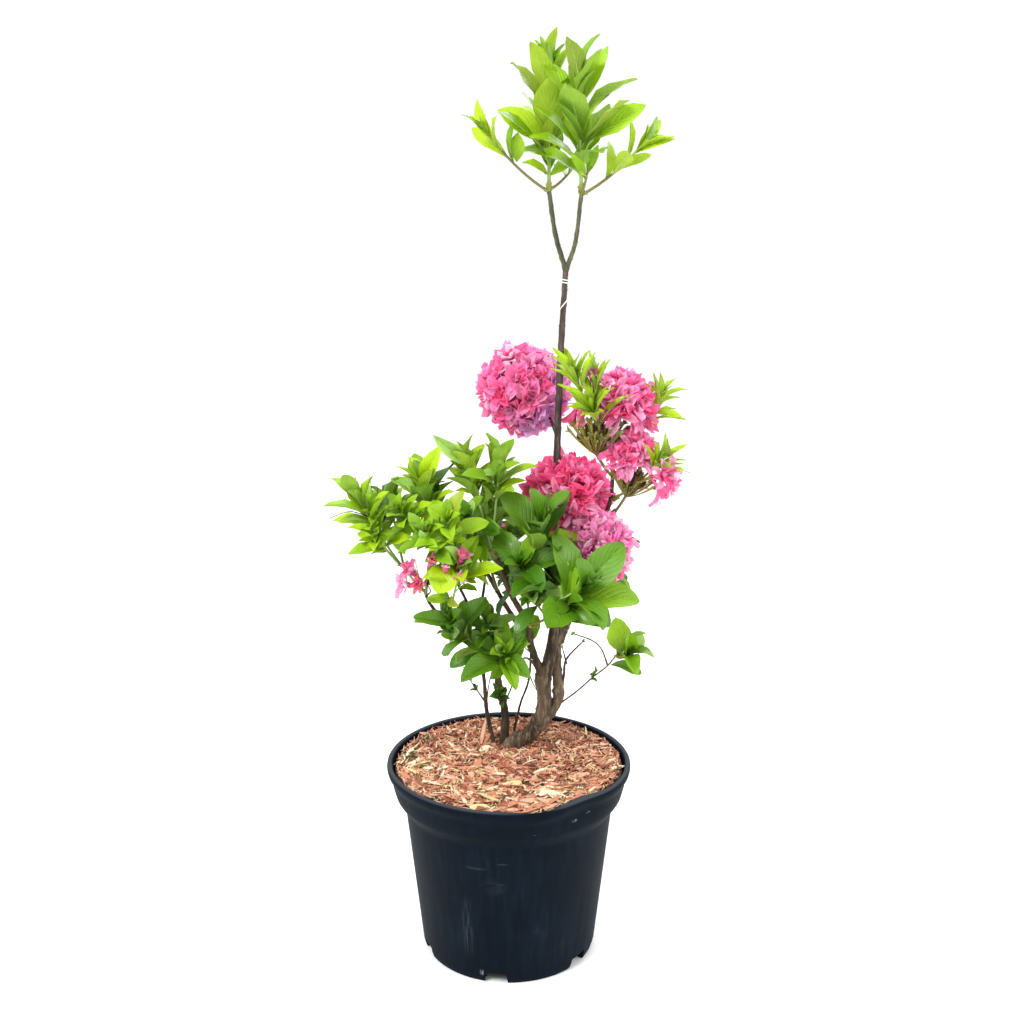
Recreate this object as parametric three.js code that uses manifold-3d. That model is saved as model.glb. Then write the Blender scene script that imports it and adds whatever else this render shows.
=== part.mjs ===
// A flowering azalea in a 7.5 litre nursery pot. Millimetres, +Z up, origin at the centre of the
// pot's flat underside. +X is the plant's right as it is looked at along +Y.
import * as THREE from 'three';
import { mergeVertices } from 'three/addons/utils/BufferGeometryUtils.js';
import Module from 'manifold-3d';

const wasm = await Module();
wasm.setup();

// ---- Driving sizes -----------------------------------------------------------------------------
const CLEAR = 0.3; // gap between pieces that touch

const POT_SIDES = 40;
const POT_HEIGHT = 212;
const RIM_RADIUS = 130; // outside of the rolled lip
const LIP_HEIGHT = 12;
const LIP_OVERHANG = 2.5;
const LIP_BULGE = 7; // height of the lip's widest place over its underside
const LIP_ROUND = 3;
const LIP_THICKNESS = 6.4;
const BAND_TOP = { radius: 124.5, z: 194 }; // the stiffer band under the lip
const BAND_BOTTOM = { radius: 121.5, z: 172 };
const SHOULDER = { radius: 111, z: 162 }; // where the body meets the band
const FOOT = { radius: 94, z: 8 };
const FOOT_RADIUS = 92; // flat underside
const FOOT_ROUND = 2;
const WALL = 2.4;
const FLOOR = 3;
const FLOOR_RADIUS = 86; // flat inside of the floor
const ROUND_STEP = 1; // how far the roundings step in before they end

const NOTCH_COUNT = 6; // drainage notches cut out of the foot
const NOTCH_TURN = THREE.MathUtils.degToRad(-98); // the first lies just left of the front
const NOTCH = { depth: 15, width: 26, height: 13 };

const SOIL_TOP = 190; // compost, under the mulch
const SOIL_RADIUS = 120.4;
const MULCH_TOP = { radius: 66, z: 211 }; // flat middle of the mulch, where the stems stand
const MULCH_SLOPE = { radius: 104, z: 209.5 };
const MULCH_EDGE = { radius: 121.4, z: 207 };
const GROUND = MULCH_TOP.z + CLEAR;

const GOLDEN_ANGLE = Math.PI * (3 - Math.sqrt(5));
const TWIG_RADIUS = 1.5;
const TWIG_TAPER = 0.7; // radius at a twig's tip as a share of that at its root
const TWIG_BOW = 0.12; // how far a twig sags below a straight line, as a share of its length
const FLARE_FADE = 12; // how fast a limb's flare dies away along it
const LIGHT_PULL = 0.18; // how strongly a leaf turns up towards the light
const LEAF_SINK = 2.5 * TWIG_RADIUS; // how far below its own place a leaf's root is sunk
const TIP_CLOSING = 0.62; // how much nearer to the twig's line the leaves at its tip stand
const TIP_SHORTENING = 0.3; // how much shorter they are
const ANGLE_JITTER = { least: 0.8, range: 0.4 };
const LENGTH_JITTER = { least: 0.85, range: 0.3 };
const TURN_JITTER = 0.8; // radians
const FLORET_TURN = 0.7; // radians from one floret's petals to the next one's
const ROOM_SHARES = [1, 0.8, 0.62]; // sizes tried for a leaf or floret where room is short
const YOUNG_LEAF = { widest: 0.58, width: 0.37, thickness: 0.03, arch: 0.06, fold: 0.05 };
const MATURE_LEAF = { widest: 0.58, width: 0.47, thickness: 0.03, arch: 0.06, fold: 0.05 };
const PETALS = 5;
const FLORET = { root: 0.2, throat: 0.56, tip: 0.9, spread: 0.46 }; // shares of a truss's reach

const COLOURS = {
  bark: '#5f4d3f',
  leaf: '#5f9420',
  youngLeaf: '#8fbe1c',
  petal: '#ee6aa3',
  pot: '#1a222b',
  mulch: '#cd9074',
  compost: '#3a2a1f',
};

// ---- Small helpers -----------------------------------------------------------------------------
const vec = (p) => new THREE.Vector3(...p);

// Random numbers from 0 to 1 that are the same on each run.
function seeded(seed) {
  let state = seed;
  const next = () => {
    state = (state * 1664525 + 1013904223) % 4294967296;
    return state / 4294967296;
  };
  for (let i = 0; i < 3; i += 1) next();
  return next;
}

const varied = (jitter, random) => jitter.least + jitter.range * random();

// A closed three.js geometry becomes a solid that can be joined and cut.
function toSolid(geometry) {
  geometry.deleteAttribute('normal');
  geometry.deleteAttribute('uv');
  const merged = mergeVertices(geometry, 1e-4);
  const corners = merged.index.array;
  const kept = [];
  for (let i = 0; i < corners.length; i += 3) {
    const [a, b, c] = [corners[i], corners[i + 1], corners[i + 2]];
    if (a !== b && b !== c && c !== a) kept.push(a, b, c);
  }
  return new wasm.Manifold(
    new wasm.Mesh({
      numProp: 3,
      vertProperties: new Float32Array(merged.attributes.position.array),
      triVerts: new Uint32Array(kept),
    }),
  );
}

function toGeometry(solid) {
  const mesh = solid.getMesh();
  const geometry = new THREE.BufferGeometry();
  geometry.setAttribute('position', new THREE.BufferAttribute(mesh.vertProperties, 3));
  geometry.setIndex(new THREE.BufferAttribute(mesh.triVerts, 1));
  geometry.computeVertexNormals();
  return geometry;
}

// The main body of a joined or cut piece, without scraps and without sealed hollows.
function largest(solid) {
  const bodies = solid.decompose();
  bodies.sort((a, b) => b.volume() - a.volume());
  return bodies[0];
}

// Two directions square to an axis.
function sideways(axis) {
  const across = Math.abs(axis.z) < 0.9 ? new THREE.Vector3(0, 0, 1) : new THREE.Vector3(1, 0, 0);
  const u = new THREE.Vector3().crossVectors(across, axis).normalize();
  const v = new THREE.Vector3().crossVectors(axis, u);
  return [u, v];
}

// A direction at an angle to an axis, turned about it.
function leaning(axis, angle, turn) {
  const [u, v] = sideways(axis);
  return new THREE.Vector3()
    .addScaledVector(axis, Math.cos(angle))
    .addScaledVector(u, Math.sin(angle) * Math.cos(turn))
    .addScaledVector(v, Math.sin(angle) * Math.sin(turn));
}

// ---- Wood --------------------------------------------------------------------------------------
// A tapering limb along a curve: a closed cylinder whose rings are carried along it. `grow` makes
// it fatter and longer by that much, as the cutter that keeps its neighbours clear.
function limbSolid(curve, radiusAt, sides, steps, grow = 0) {
  const geometry = new THREE.CylinderGeometry(1, 1, 1, sides, steps);
  const flatGrow = grow / Math.cos(Math.PI / sides); // so that its flat sides grow by all of it
  const rings = [];
  let [normal] = sideways(curve.getTangent(0));
  for (let i = 0; i <= steps; i += 1) {
    const tangent = curve.getTangent(i / steps);
    normal = normal.clone().addScaledVector(tangent, -normal.dot(tangent)).normalize();
    const centre = curve.getPoint(i / steps);
    if (i === 0) centre.addScaledVector(tangent, -grow);
    if (i === steps) centre.addScaledVector(tangent, grow);
    const binormal = new THREE.Vector3().crossVectors(normal, tangent);
    rings.push({ centre, normal, binormal, radius: radiusAt(i / steps) + flatGrow });
  }
  const position = geometry.attributes.position;
  for (let i = 0; i < position.count; i += 1) {
    const ring = rings[Math.round((position.getY(i) + 0.5) * steps)];
    const place = ring.centre
      .clone()
      .addScaledVector(ring.normal, position.getX(i) * ring.radius)
      .addScaledVector(ring.binormal, position.getZ(i) * ring.radius);
    position.setXYZ(i, place.x, place.y, place.z);
  }
  return toSolid(geometry);
}

const taper = (base, tip, flare = 0) => (t) =>
  base + (tip - base) * t + flare * Math.exp(-t * FLARE_FADE);

// Limbs, each from the limb that carries it: places along its middle, radius at base and tip.
const LIMBS = [
  { name: 'trunk', radius: [9.6, 8.4], flare: 4, sides: 9, steps: 11,
    path: [[-12, 44, 190], [6, 33, 214], [26, 25, 232], [38, 20, 262], [36, 20, 300]] },
  { name: 'leader', radius: [6.6, 2.6], sides: 7, steps: 13,
    path: [[36, 20, 297], [49, 20, 355], [54, 22, 430], [50, 21, 530], [53, 20, 650], [57, 20, 727]] },
  { name: 'leader_fork_left', radius: [2.4, 2.1], sides: 6, steps: 4,
    path: [[57, 20, 725], [47, 25, 758], [40, 30, 801]] },
  { name: 'leader_fork_right', radius: [2.4, 2.0], sides: 6, steps: 4,
    path: [[57, 20, 725], [66, 14, 753], [71, 10, 798]] },
  { name: 'right_trunk', radius: [6.6, 5.0], sides: 8, steps: 7,
    path: [[32, 22, 238], [49, 24, 258], [55, 28, 276], [54, 30, 300], [55, 32, 334], [58, 32, 352]] },
  { name: 'bough_right', radius: [4.0, 2.3], sides: 6, steps: 6,
    path: [[58, 32, 350], [65, 34, 378], [81, 30, 423], [98, 22, 462], [111, 17, 481]] },
  { name: 'bough_right_upper', radius: [2.3, 1.8], sides: 6, steps: 5,
    path: [[96, 23, 458], [106, 30, 488], [108, 32, 520], [104, 30, 546]] },
  { name: 'bough_left', radius: [5.6, 2.4], sides: 7, steps: 7,
    path: [[36, 20, 299], [28, 12, 332], [16, 2, 368], [-1, -6, 403], [-12, -10, 436]] },
  { name: 'bough_ball', radius: [2.0, 1.7], sides: 5, steps: 4,
    path: [[51, 21, 546], [44, 36, 560], [33, 48, 572]] },
  { name: 'bough_back_right', radius: [3.4, 2.2], sides: 6, steps: 5,
    path: [[55, 32, 332], [69, 56, 354], [87, 84, 385]] },
  { name: 'bough_back_left', radius: [3.4, 2.2], sides: 6, steps: 6,
    path: [[36, 20, 296], [20, 50, 327], [-4, 80, 358], [-26, 96, 393]] },
  { name: 'left_stem', radius: [4.6, 3.4], flare: 2, sides: 8, steps: 6,
    path: [[-7, 41, 198], [-4, 38, 245], [-11, 36, 281], [-13, 32, 314]] },
  { name: 'bough_wing', radius: [2.2, 1.4], sides: 5, steps: 6,
    path: [[-13, 33, 310], [-33, 18, 336], [-60, 8, 357], [-80, 2, 381], [-88, 0, 400]] },
  { name: 'dark_stem', radius: [2.7, 1.7], flare: 1, sides: 5, steps: 6,
    path: [[-14, 46, 196], [-24, 48, 244], [-27, 48, 282], [-31, 40, 319], [-34, 26, 356]] },
  { name: 'dark_stem_left', radius: [1.6, 1.3], sides: 5, steps: 5,
    path: [[-34, 26, 355], [-43, 16, 379], [-53, 8, 403], [-65, 4, 424]] },
  { name: 'dark_stem_right', radius: [1.6, 1.3], sides: 5, steps: 5,
    path: [[-34, 26, 355], [-28, 30, 381], [-25, 30, 410], [-28, 20, 446]] },
  { name: 'back_stem', radius: [1.8, 1.4], flare: 1, sides: 5, steps: 6,
    path: [[1, 52, 196], [12, 56, 248], [22, 62, 277], [24, 70, 315], [21, 76, 362]] },
  { name: 'right_twig', radius: [1.5, 1.2], sides: 5, steps: 6,
    path: [[55, 27, 268], [73, 18, 280], [90, 6, 298], [104, -4, 317], [112, -8, 331]] },
  { name: 'right_twig_curl', radius: [1.1, 0.8], sides: 5, steps: 5,
    path: [[105, -4, 318], [101, -4, 338], [87, -2, 350], [67, 0, 350]] },
  { name: 'bare_twig', radius: [1.9, 0.9], sides: 5, steps: 6,
    path: [[54, 29, 272], [59, 26, 298], [63, 24, 316], [80, 16, 339]] },
  { name: 'bare_twig_spur', radius: [1.1, 0.8], sides: 5, steps: 3,
    path: [[62, 25, 311], [59, 26, 327]] },
];

// ---- Leaves ------------------------------------------------------------------------------------
// A blade of eight faces: an octahedron pulled out to a root, a tip and two edges.
function bladeSolid(leaf, shape, share) {
  const { root, direction, upper } = leaf;
  const length = leaf.length * share;
  const geometry = new THREE.OctahedronGeometry(1);
  const position = geometry.attributes.position;
  const side = new THREE.Vector3().crossVectors(direction, upper);
  for (let i = 0; i < position.count; i += 1) {
    const [x, y, z] = [position.getX(i), position.getY(i), position.getZ(i)];
    const along = Math.abs(y) < 0.5 ? shape.widest : (y + 1) / 2;
    const raised = Math.abs(y) < 0.5 ? shape.arch + shape.fold * Math.abs(x) : 0;
    const place = root
      .clone()
      .addScaledVector(direction, along * length)
      .addScaledVector(side, x * shape.width * 0.5 * length)
      .addScaledVector(upper, (raised + z * shape.thickness * 0.5) * length);
    position.setXYZ(i, place.x, place.y, place.z);
  }
  return toSolid(geometry);
}

// A twig from one place to another, bowed so that its tip turns upwards.
function twigCurve(from, to) {
  const middle = from.clone().add(to).multiplyScalar(0.5);
  middle.z -= TWIG_BOW * from.distanceTo(to);
  return new THREE.QuadraticBezierCurve3(from, middle, to);
}

// The leaves of one shoot, set round it at the golden angle: the lowest stand out furthest and are
// the longest, and those at the tip are shorter and nearly in line with it.
function shootLeaves(curve, [, , count, length, spread, zone, seed]) {
  const random = seeded(seed);
  const firstTurn = 2 * Math.PI * random();
  const leaves = [];
  for (let i = 0; i < count; i += 1) {
    const rise = i / (count - 1);
    const t = 1 - zone * (1 - rise);
    const axis = curve.getTangent(t);
    const opening = THREE.MathUtils.degToRad(spread) * (1 - TIP_CLOSING * rise ** 1.5);
    const angle = opening * varied(ANGLE_JITTER, random);
    const turn = firstTurn + i * GOLDEN_ANGLE + (random() - 0.5) * TURN_JITTER;
    const reach = length * (1 - TIP_SHORTENING * rise ** 2) * varied(LENGTH_JITTER, random);
    const direction = leaning(axis, angle, turn);
    direction.z += LIGHT_PULL;
    direction.normalize();
    const upper = axis.clone().addScaledVector(direction, -axis.dot(direction)).normalize();
    const root = curve.getPoint(t).addScaledVector(axis, -LEAF_SINK);
    leaves.push({ root, direction, upper, length: reach });
  }
  return leaves;
}

// Masses of foliage. Each grows from its root, a place on the middle of a limb. The first shoot
// starts there, and each other one starts part of the way up the first. A shoot's row is: where it
// starts, the place of its tip, number of leaves, their length, how far the lowest stand out in
// degrees, the share of the shoot that bears leaves, and its seed.
const YOUNG = { colour: COLOURS.youngLeaf, shape: YOUNG_LEAF };
const MATURE = { colour: COLOURS.leaf, shape: MATURE_LEAF };
const FOLIAGE = [
  { name: 'crown_left_leaves', tone: YOUNG, root: [40, 30, 799], shoots: [
    [0, [40, 28, 911], 13, 70, 54, 0.72, 8883],
    [0.02, [-21, 10, 856], 5, 46, 56, 0.4, 1554],
    [0.04, [67, 62, 827], 4, 32, 54, 0.3, 8]] },
  { name: 'crown_right_leaves', tone: YOUNG, root: [71, 10, 796], shoots: [
    [0, [68, -1, 901], 13, 74, 72, 0.72, 8942],
    [0.02, [130, -1, 846], 7, 46, 56, 0.55, 283],
    [0.04, [75, -34, 822], 4, 30, 54, 0.3, 288]] },
  { name: 'wing_tip_leaves', tone: YOUNG, root: [-88, 0, 398], shoots: [
    [0, [-152, -6, 497], 9, 50, 74, 0.3, 3682],
    [0.35, [-135, -21, 466], 7, 38, 82, 0.35, 6891],
    [0.3, [-124, 38, 487], 7, 50, 90, 0.35, 6449]] },
  { name: 'wing_top_leaves', tone: YOUNG, root: [-64, 4, 422], shoots: [
    [0, [-88, 9, 510], 10, 54, 62, 0.3, 5714],
    [0.3, [-109, -10, 483], 7, 44, 95, 0.3, 5520],
    [0.25, [-75, 52, 474], 7, 44, 90, 0.3, 536]] },
  { name: 'wing_front_leaves', tone: YOUNG, root: [-53, 8, 403], shoots: [
    [0, [-60, -53, 487], 7, 46, 92, 0.25, 745],
    [0.35, [-83, -44, 470], 6, 44, 78, 0.3, 1276]] },
  { name: 'wing_pale_leaves', tone: YOUNG, root: [-66, 6, 362], shoots: [
    [0, [-48, -45, 440], 6, 50, 80, 0.2, 3239]] },
  { name: 'wing_upright_leaves', tone: YOUNG, root: [-12, -10, 434], shoots: [
    [0, [-40, 16, 529], 7, 56, 60, 0.35, 5164],
    [0.2, [-9, 3, 535], 8, 48, 78, 0.35, 983],
    [0.1, [-9, 44, 480], 6, 42, 85, 0.3, 1234]] },
  { name: 'wing_inner_leaves', tone: MATURE, root: [-28, 20, 444], shoots: [
    [0, [-41, -6, 476], 8, 44, 88, 0.4, 167],
    [0.1, [-37, 50, 455], 6, 42, 90, 0.35, 748]] },
  { name: 'lower_left_leaves', tone: MATURE, root: [-12, 34, 306], shoots: [
    [0, [-6, 5, 327], 7, 54, 98, 0.25, 1151],
    [0.3, [-58, -16, 372], 6, 50, 78, 0.35, 696],
    [0.25, [-23, 15, 366], 6, 42, 95, 0.3, 3925],
    [0.2, [-29, 52, 327], 5, 46, 85, 0.35, 604]] },
  { name: 'centre_upper_leaves', tone: MATURE, root: [2, -7, 398], shoots: [
    [0, [36, -23, 477], 7, 62, 70, 0.3, 3491],
    [0.4, [14, -24, 434], 6, 46, 85, 0.3, 632]] },
  { name: 'centre_front_leaves', tone: MATURE, root: [20, 5, 358], shoots: [
    [0, [72, -47, 413], 6, 78, 82, 0.22, 186],
    [0.55, [50, -20, 416], 5, 66, 90, 0.25, 3968],
    [0.4, [24, -30, 402], 6, 46, 98, 0.3, 478]] },
  { name: 'right_twig_leaves', tone: MATURE, root: [112, -8, 330], shoots: [
    [0, [125, -16, 336], 5, 40, 68, 0.7, 4635]] },
  { name: 'shoots_over_leader', tone: YOUNG, root: [104, 30, 544], shoots: [
    [0, [84, 0, 591], 8, 52, 64, 0.3, 5846],
    [0.6, [67, 4, 621], 7, 48, 48, 0.25, 1758],
    [0.7, [87, 8, 614], 5, 46, 40, 0.25, 1749]] },
  { name: 'shoots_right_upper', tone: YOUNG, root: [107, 31, 510], shoots: [
    [0, [155, 38, 594], 8, 46, 66, 0.2, 6565]] },
  { name: 'shoots_right_lower', tone: YOUNG, root: [106, 30, 488], shoots: [
    [0, [155, 3, 537], 8, 44, 60, 0.2, 1701]] },
  { name: 'back_left_leaves', tone: MATURE, root: [-26, 96, 391], shoots: [
    [0, [-44, 126, 432], 8, 54, 78, 0.35, 212],
    [0.2, [-70, 96, 420], 7, 50, 86, 0.35, 355],
    [0.2, [0, 124, 418], 7, 50, 96, 0.35, 562]] },
  { name: 'back_centre_leaves', tone: MATURE, root: [21, 76, 360], shoots: [
    [0, [30, 106, 396], 7, 54, 100, 0.4, 400],
    [0.3, [-4, 84, 388], 6, 42, 100, 0.4, 1436]] },
  { name: 'back_right_leaves', tone: MATURE, root: [86, 83, 383], shoots: [
    [0, [100, 108, 418], 8, 54, 96, 0.35, 298],
    [0.2, [112, 76, 404], 6, 42, 94, 0.35, 539],
    [0.2, [72, 118, 414], 6, 50, 96, 0.35, 466]] },
];

// ---- Flowers -----------------------------------------------------------------------------------
// Trusses. Each stands on a short stem from a place on a limb, and its florets spread over a cap of
// a ball, round the way it faces. `reach` goes from the heart to the petals' tips.
const TRUSSES = [
  { name: 'truss_ball', root: [33, 48, 571], heart: [13, 74, 596], reach: 50, core: 0.7,
    faces: [-0.1, -0.2, 0.6], cap: 160, florets: 15 },
  { name: 'truss_right_upper', root: [105, 30, 540], heart: [112, 36, 586], reach: 44, core: 0.3,
    faces: [-0.1, -0.1, 1], cap: 95, florets: 9 },
  { name: 'truss_right_middle', root: [107, 31, 500], heart: [133, 26, 534], reach: 32, core: 0.3,
    faces: [0, -0.5, 0.6], cap: 90, florets: 6 },
  { name: 'truss_right_outer', root: [111, 17, 480], heart: [142, 0, 506], reach: 34, core: 0.25,
    faces: [1, -0.4, -0.1], cap: 60, florets: 4 },
  { name: 'truss_centre', root: [94, 24, 450], heart: [64, 30, 502], reach: 45, core: 0.6,
    faces: [-0.2, -0.6, 0.7], cap: 135, florets: 13 },
  { name: 'truss_low', root: [84, 29, 428], heart: [96, 6, 443], reach: 40, core: 0.55,
    faces: [0.3, -0.9, 0.3], cap: 120, florets: 10 },
  { name: 'truss_left', root: [-86, 1, 394], heart: [-82, -34, 424], reach: 32, core: 0.25,
    faces: [0, -1, 0.3], cap: 110, florets: 6 },
  { name: 'truss_back', root: [76, 66, 366], heart: [74, 104, 476], reach: 42, core: 0.6,
    faces: [0, 0.6, 0.8], cap: 125, florets: 11 },
  { name: 'truss_back_left', root: [-10, 85, 366], heart: [-28, 92, 448], reach: 36, core: 0.55,
    faces: [0, 0.7, 0.5], cap: 110, florets: 8 },
];

// A floret: a funnel from the truss's heart to a star of pointed petals round a sunken throat.
function floretSolid(heart, axis, reach, turn) {
  const geometry = new THREE.ConeGeometry(1, 1, PETALS, 1);
  const position = geometry.attributes.position;
  const across = leaning(axis, Math.PI / 2, turn);
  const square = new THREE.Vector3().crossVectors(axis, across);
  for (let i = 0; i < position.count; i += 1) {
    const [x, y, z] = [position.getX(i), position.getY(i), position.getZ(i)];
    let along = y > 0 ? FLORET.root : FLORET.throat;
    if (Math.hypot(x, z) > 0.5) along = FLORET.tip;
    const place = heart
      .clone()
      .addScaledVector(axis, along * reach)
      .addScaledVector(across, x * FLORET.spread * reach)
      .addScaledVector(square, z * FLORET.spread * reach);
    position.setXYZ(i, place.x, place.y, place.z);
  }
  return toSolid(geometry);
}

function trussFlorets(truss) {
  const heart = vec(truss.heart);
  const facing = vec(truss.faces).normalize();
  const edge = Math.cos(THREE.MathUtils.degToRad(truss.cap));
  const florets = [];
  for (let k = 0; k < truss.florets; k += 1) {
    const height = 1 - (1 - edge) * ((k + 0.5) / truss.florets);
    const axis = leaning(facing, Math.acos(height), k * GOLDEN_ANGLE);
    florets.push(...roomFor((share) => floretSolid(heart, axis, truss.reach * share, k * FLORET_TURN)));
  }
  return florets;
}

// ---- Joining pieces so that they keep clear of each other --------------------------------------
const placed = []; // every finished solid of the plant, with its fatter cutter where it has one
const group = new THREE.Group();

function addMesh(name, solid, colour, roughness) {
  const material = new THREE.MeshStandardMaterial({ color: colour, roughness, metalness: 0 });
  const mesh = new THREE.Mesh(toGeometry(solid), material);
  mesh.name = name;
  group.add(mesh);
}

function cutByWood(solid) {
  return placed
    .filter((piece) => piece.cutter)
    .reduce((rest, piece) => rest.subtract(piece.cutter), solid);
}

function boxesApart(a, b, distance) {
  return [0, 1, 2].some(
    (i) => a.min[i] - b.max[i] > distance || b.min[i] - a.max[i] > distance,
  );
}

// True where a leaf or petal would touch something of the plant that is already there.
function touches(solid) {
  const box = solid.boundingBox();
  return placed.some(
    (piece) => !boxesApart(box, piece.box, CLEAR) && piece.solid.minGap(solid, 1) < CLEAR,
  );
}

// The piece at full size, or shorter where that is what there is room for, or none at all.
function roomFor(make) {
  for (const share of ROOM_SHARES) {
    const solid = make(share);
    if (!touches(solid)) return [solid];
  }
  return [];
}

function keep(name, solid, cutter, colour, roughness) {
  placed.push({ name, solid, cutter, box: solid.boundingBox() });
  addMesh(name, solid, colour, roughness);
}

function addLimb(row) {
  const curve = new THREE.CatmullRomCurve3(row.path.map(vec), false, 'catmullrom', 0.5);
  const radiusAt = taper(...row.radius, row.flare);
  const whole = limbSolid(curve, radiusAt, row.sides, row.steps);
  const cutter = limbSolid(curve, radiusAt, row.sides, row.steps, CLEAR);
  const solid = largest(cutByWood(whole.trimByPlane([0, 0, 1], GROUND)));
  keep(row.name, solid, cutter, COLOURS.bark, 0.9);
}

function addMass(row) {
  const main = twigCurve(vec(row.root), vec(row.shoots[0][1]));
  const pieces = [];
  for (const shoot of row.shoots) {
    const [start, tip] = shoot;
    const curve = start > 0 ? twigCurve(main.getPoint(start), vec(tip)) : main;
    pieces.push(limbSolid(curve, taper(TWIG_RADIUS, TWIG_TAPER * TWIG_RADIUS), 3, 4));
    for (const leaf of shootLeaves(curve, shoot)) {
      pieces.push(...roomFor((share) => bladeSolid(leaf, row.tone.shape, share)));
    }
  }
  const solid = largest(cutByWood(wasm.Manifold.union(pieces)));
  keep(row.name, solid, null, row.tone.colour, 0.55);
}

// A truss's stem and core. They are there before the leaves grow, which keep clear of them.
function reserveHub(row) {
  const heart = vec(row.heart);
  const core = new THREE.IcosahedronGeometry(row.reach * row.core, 0);
  core.translate(heart.x, heart.y, heart.z);
  const stem = limbSolid(twigCurve(vec(row.root), heart), taper(TWIG_RADIUS, TWIG_RADIUS), 3, 3);
  const solid = stem.add(toSolid(core));
  placed.push({ name: row.name, solid, box: solid.boundingBox() });
}

function addTruss(row) {
  const [hub] = placed.splice(placed.findIndex((piece) => piece.name === row.name), 1);
  const solid = largest(cutByWood(wasm.Manifold.union([hub.solid, ...trussFlorets(row)])));
  keep(row.name, solid, null, COLOURS.petal, 0.6);
}

// ---- Pot, compost and mulch --------------------------------------------------------------------
function latheSolid(profile) {
  const points = profile.map(([r, z]) => new THREE.Vector2(r, z));
  const geometry = new THREE.LatheGeometry(points, POT_SIDES);
  geometry.rotateX(Math.PI / 2);
  return toSolid(geometry);
}

// A point of the pot's wall, some way in from the outside.
const inset = (place, depth) => [place.radius - depth, place.z];

function notchCutter(index) {
  const box = new THREE.BoxGeometry(2 * NOTCH.depth, NOTCH.width, 2 * NOTCH.height);
  box.translate(FOOT.radius, 0, 0);
  box.rotateZ(NOTCH_TURN + (index * 2 * Math.PI) / NOTCH_COUNT);
  return toSolid(box);
}

function potSolid() {
  const lipBottom = POT_HEIGHT - LIP_HEIGHT;
  const outside = [
    [0, 0], [FOOT_RADIUS - FOOT_ROUND, 0], [FOOT_RADIUS, FOOT_ROUND], inset(FOOT, 0),
    inset(SHOULDER, 0), inset(BAND_BOTTOM, 0), inset(BAND_TOP, 0),
    [RIM_RADIUS - LIP_OVERHANG, lipBottom], [RIM_RADIUS, lipBottom + LIP_BULGE],
    [RIM_RADIUS - ROUND_STEP, POT_HEIGHT - ROUND_STEP], [RIM_RADIUS - LIP_ROUND, POT_HEIGHT],
  ];
  const inside = [
    [RIM_RADIUS - LIP_THICKNESS + ROUND_STEP, POT_HEIGHT - ROUND_STEP],
    [RIM_RADIUS - LIP_THICKNESS, lipBottom + LIP_BULGE - ROUND_STEP], inset(BAND_TOP, WALL),
    inset(BAND_BOTTOM, WALL), inset(SHOULDER, WALL), inset(FOOT, WALL),
    [FLOOR_RADIUS, FLOOR], [0, FLOOR],
  ];
  const notches = Array.from({ length: NOTCH_COUNT }, (_, index) => notchCutter(index));
  return latheSolid([...outside, ...inside]).subtract(wasm.Manifold.union(notches));
}

// The compost fills the pot up to the mulch, a hair's breadth clear of the wall and floor.
function compostSolid() {
  const depth = WALL + 2 * CLEAR;
  return latheSolid([
    [0, FLOOR + CLEAR], [FLOOR_RADIUS - ROUND_STEP, FLOOR + CLEAR], inset(FOOT, depth),
    inset(SHOULDER, depth), inset(BAND_BOTTOM, depth), [SOIL_RADIUS, SOIL_TOP], [0, SOIL_TOP],
  ]);
}

function mulchSolid() {
  return latheSolid([
    [0, SOIL_TOP + CLEAR], [SOIL_RADIUS, SOIL_TOP + CLEAR], inset(BAND_TOP, WALL + 2 * CLEAR),
    inset(MULCH_EDGE, 0), inset(MULCH_SLOPE, 0), inset(MULCH_TOP, 0), [0, MULCH_TOP.z],
  ]);
}

addMesh('pot', potSolid(), COLOURS.pot, 0.45);
addMesh('compost', compostSolid(), COLOURS.compost, 1);
addMesh('mulch', mulchSolid(), COLOURS.mulch, 0.95);
LIMBS.forEach(addLimb);
TRUSSES.forEach(reserveHub);
FOLIAGE.forEach(addMass);
TRUSSES.forEach(addTruss);

export default group;
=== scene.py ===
# %% [markdown]
# # A flowering azalea in its nursery pot
# A plain CAD model gives the pot, the limbs, and one rough solid for each mass of leaves and each
# truss of flowers. This lesson dresses it: bark, twigs, leaves, flowers, wood chips and the
# moulded pot. The frame comes first, because every piece takes its place from it.

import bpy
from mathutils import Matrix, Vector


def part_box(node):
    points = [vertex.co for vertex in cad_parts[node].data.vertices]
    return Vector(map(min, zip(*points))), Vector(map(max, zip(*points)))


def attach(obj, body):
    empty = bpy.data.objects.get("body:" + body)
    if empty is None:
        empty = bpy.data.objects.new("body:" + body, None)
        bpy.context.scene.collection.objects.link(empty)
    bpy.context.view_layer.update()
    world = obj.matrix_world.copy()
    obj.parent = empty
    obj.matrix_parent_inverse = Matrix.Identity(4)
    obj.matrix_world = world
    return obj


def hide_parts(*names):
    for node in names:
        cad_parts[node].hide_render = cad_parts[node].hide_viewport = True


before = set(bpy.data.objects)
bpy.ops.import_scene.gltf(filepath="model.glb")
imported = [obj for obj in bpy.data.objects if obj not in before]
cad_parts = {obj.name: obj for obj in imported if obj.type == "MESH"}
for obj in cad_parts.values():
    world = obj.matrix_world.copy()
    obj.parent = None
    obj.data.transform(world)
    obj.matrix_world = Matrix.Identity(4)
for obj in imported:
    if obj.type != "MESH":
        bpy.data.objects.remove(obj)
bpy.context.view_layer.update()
print("nodes in the frame:", len(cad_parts))

# %% Tools for the lesson
import math
import random
from functools import lru_cache

import bmesh
import bpy
import numpy as np
from mathutils import Matrix, Vector, noise

MM = 0.001
GOLDEN_ANGLE = math.pi * (3 - math.sqrt(5))


def mm(place):
    return Vector(place) * MM


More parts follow.
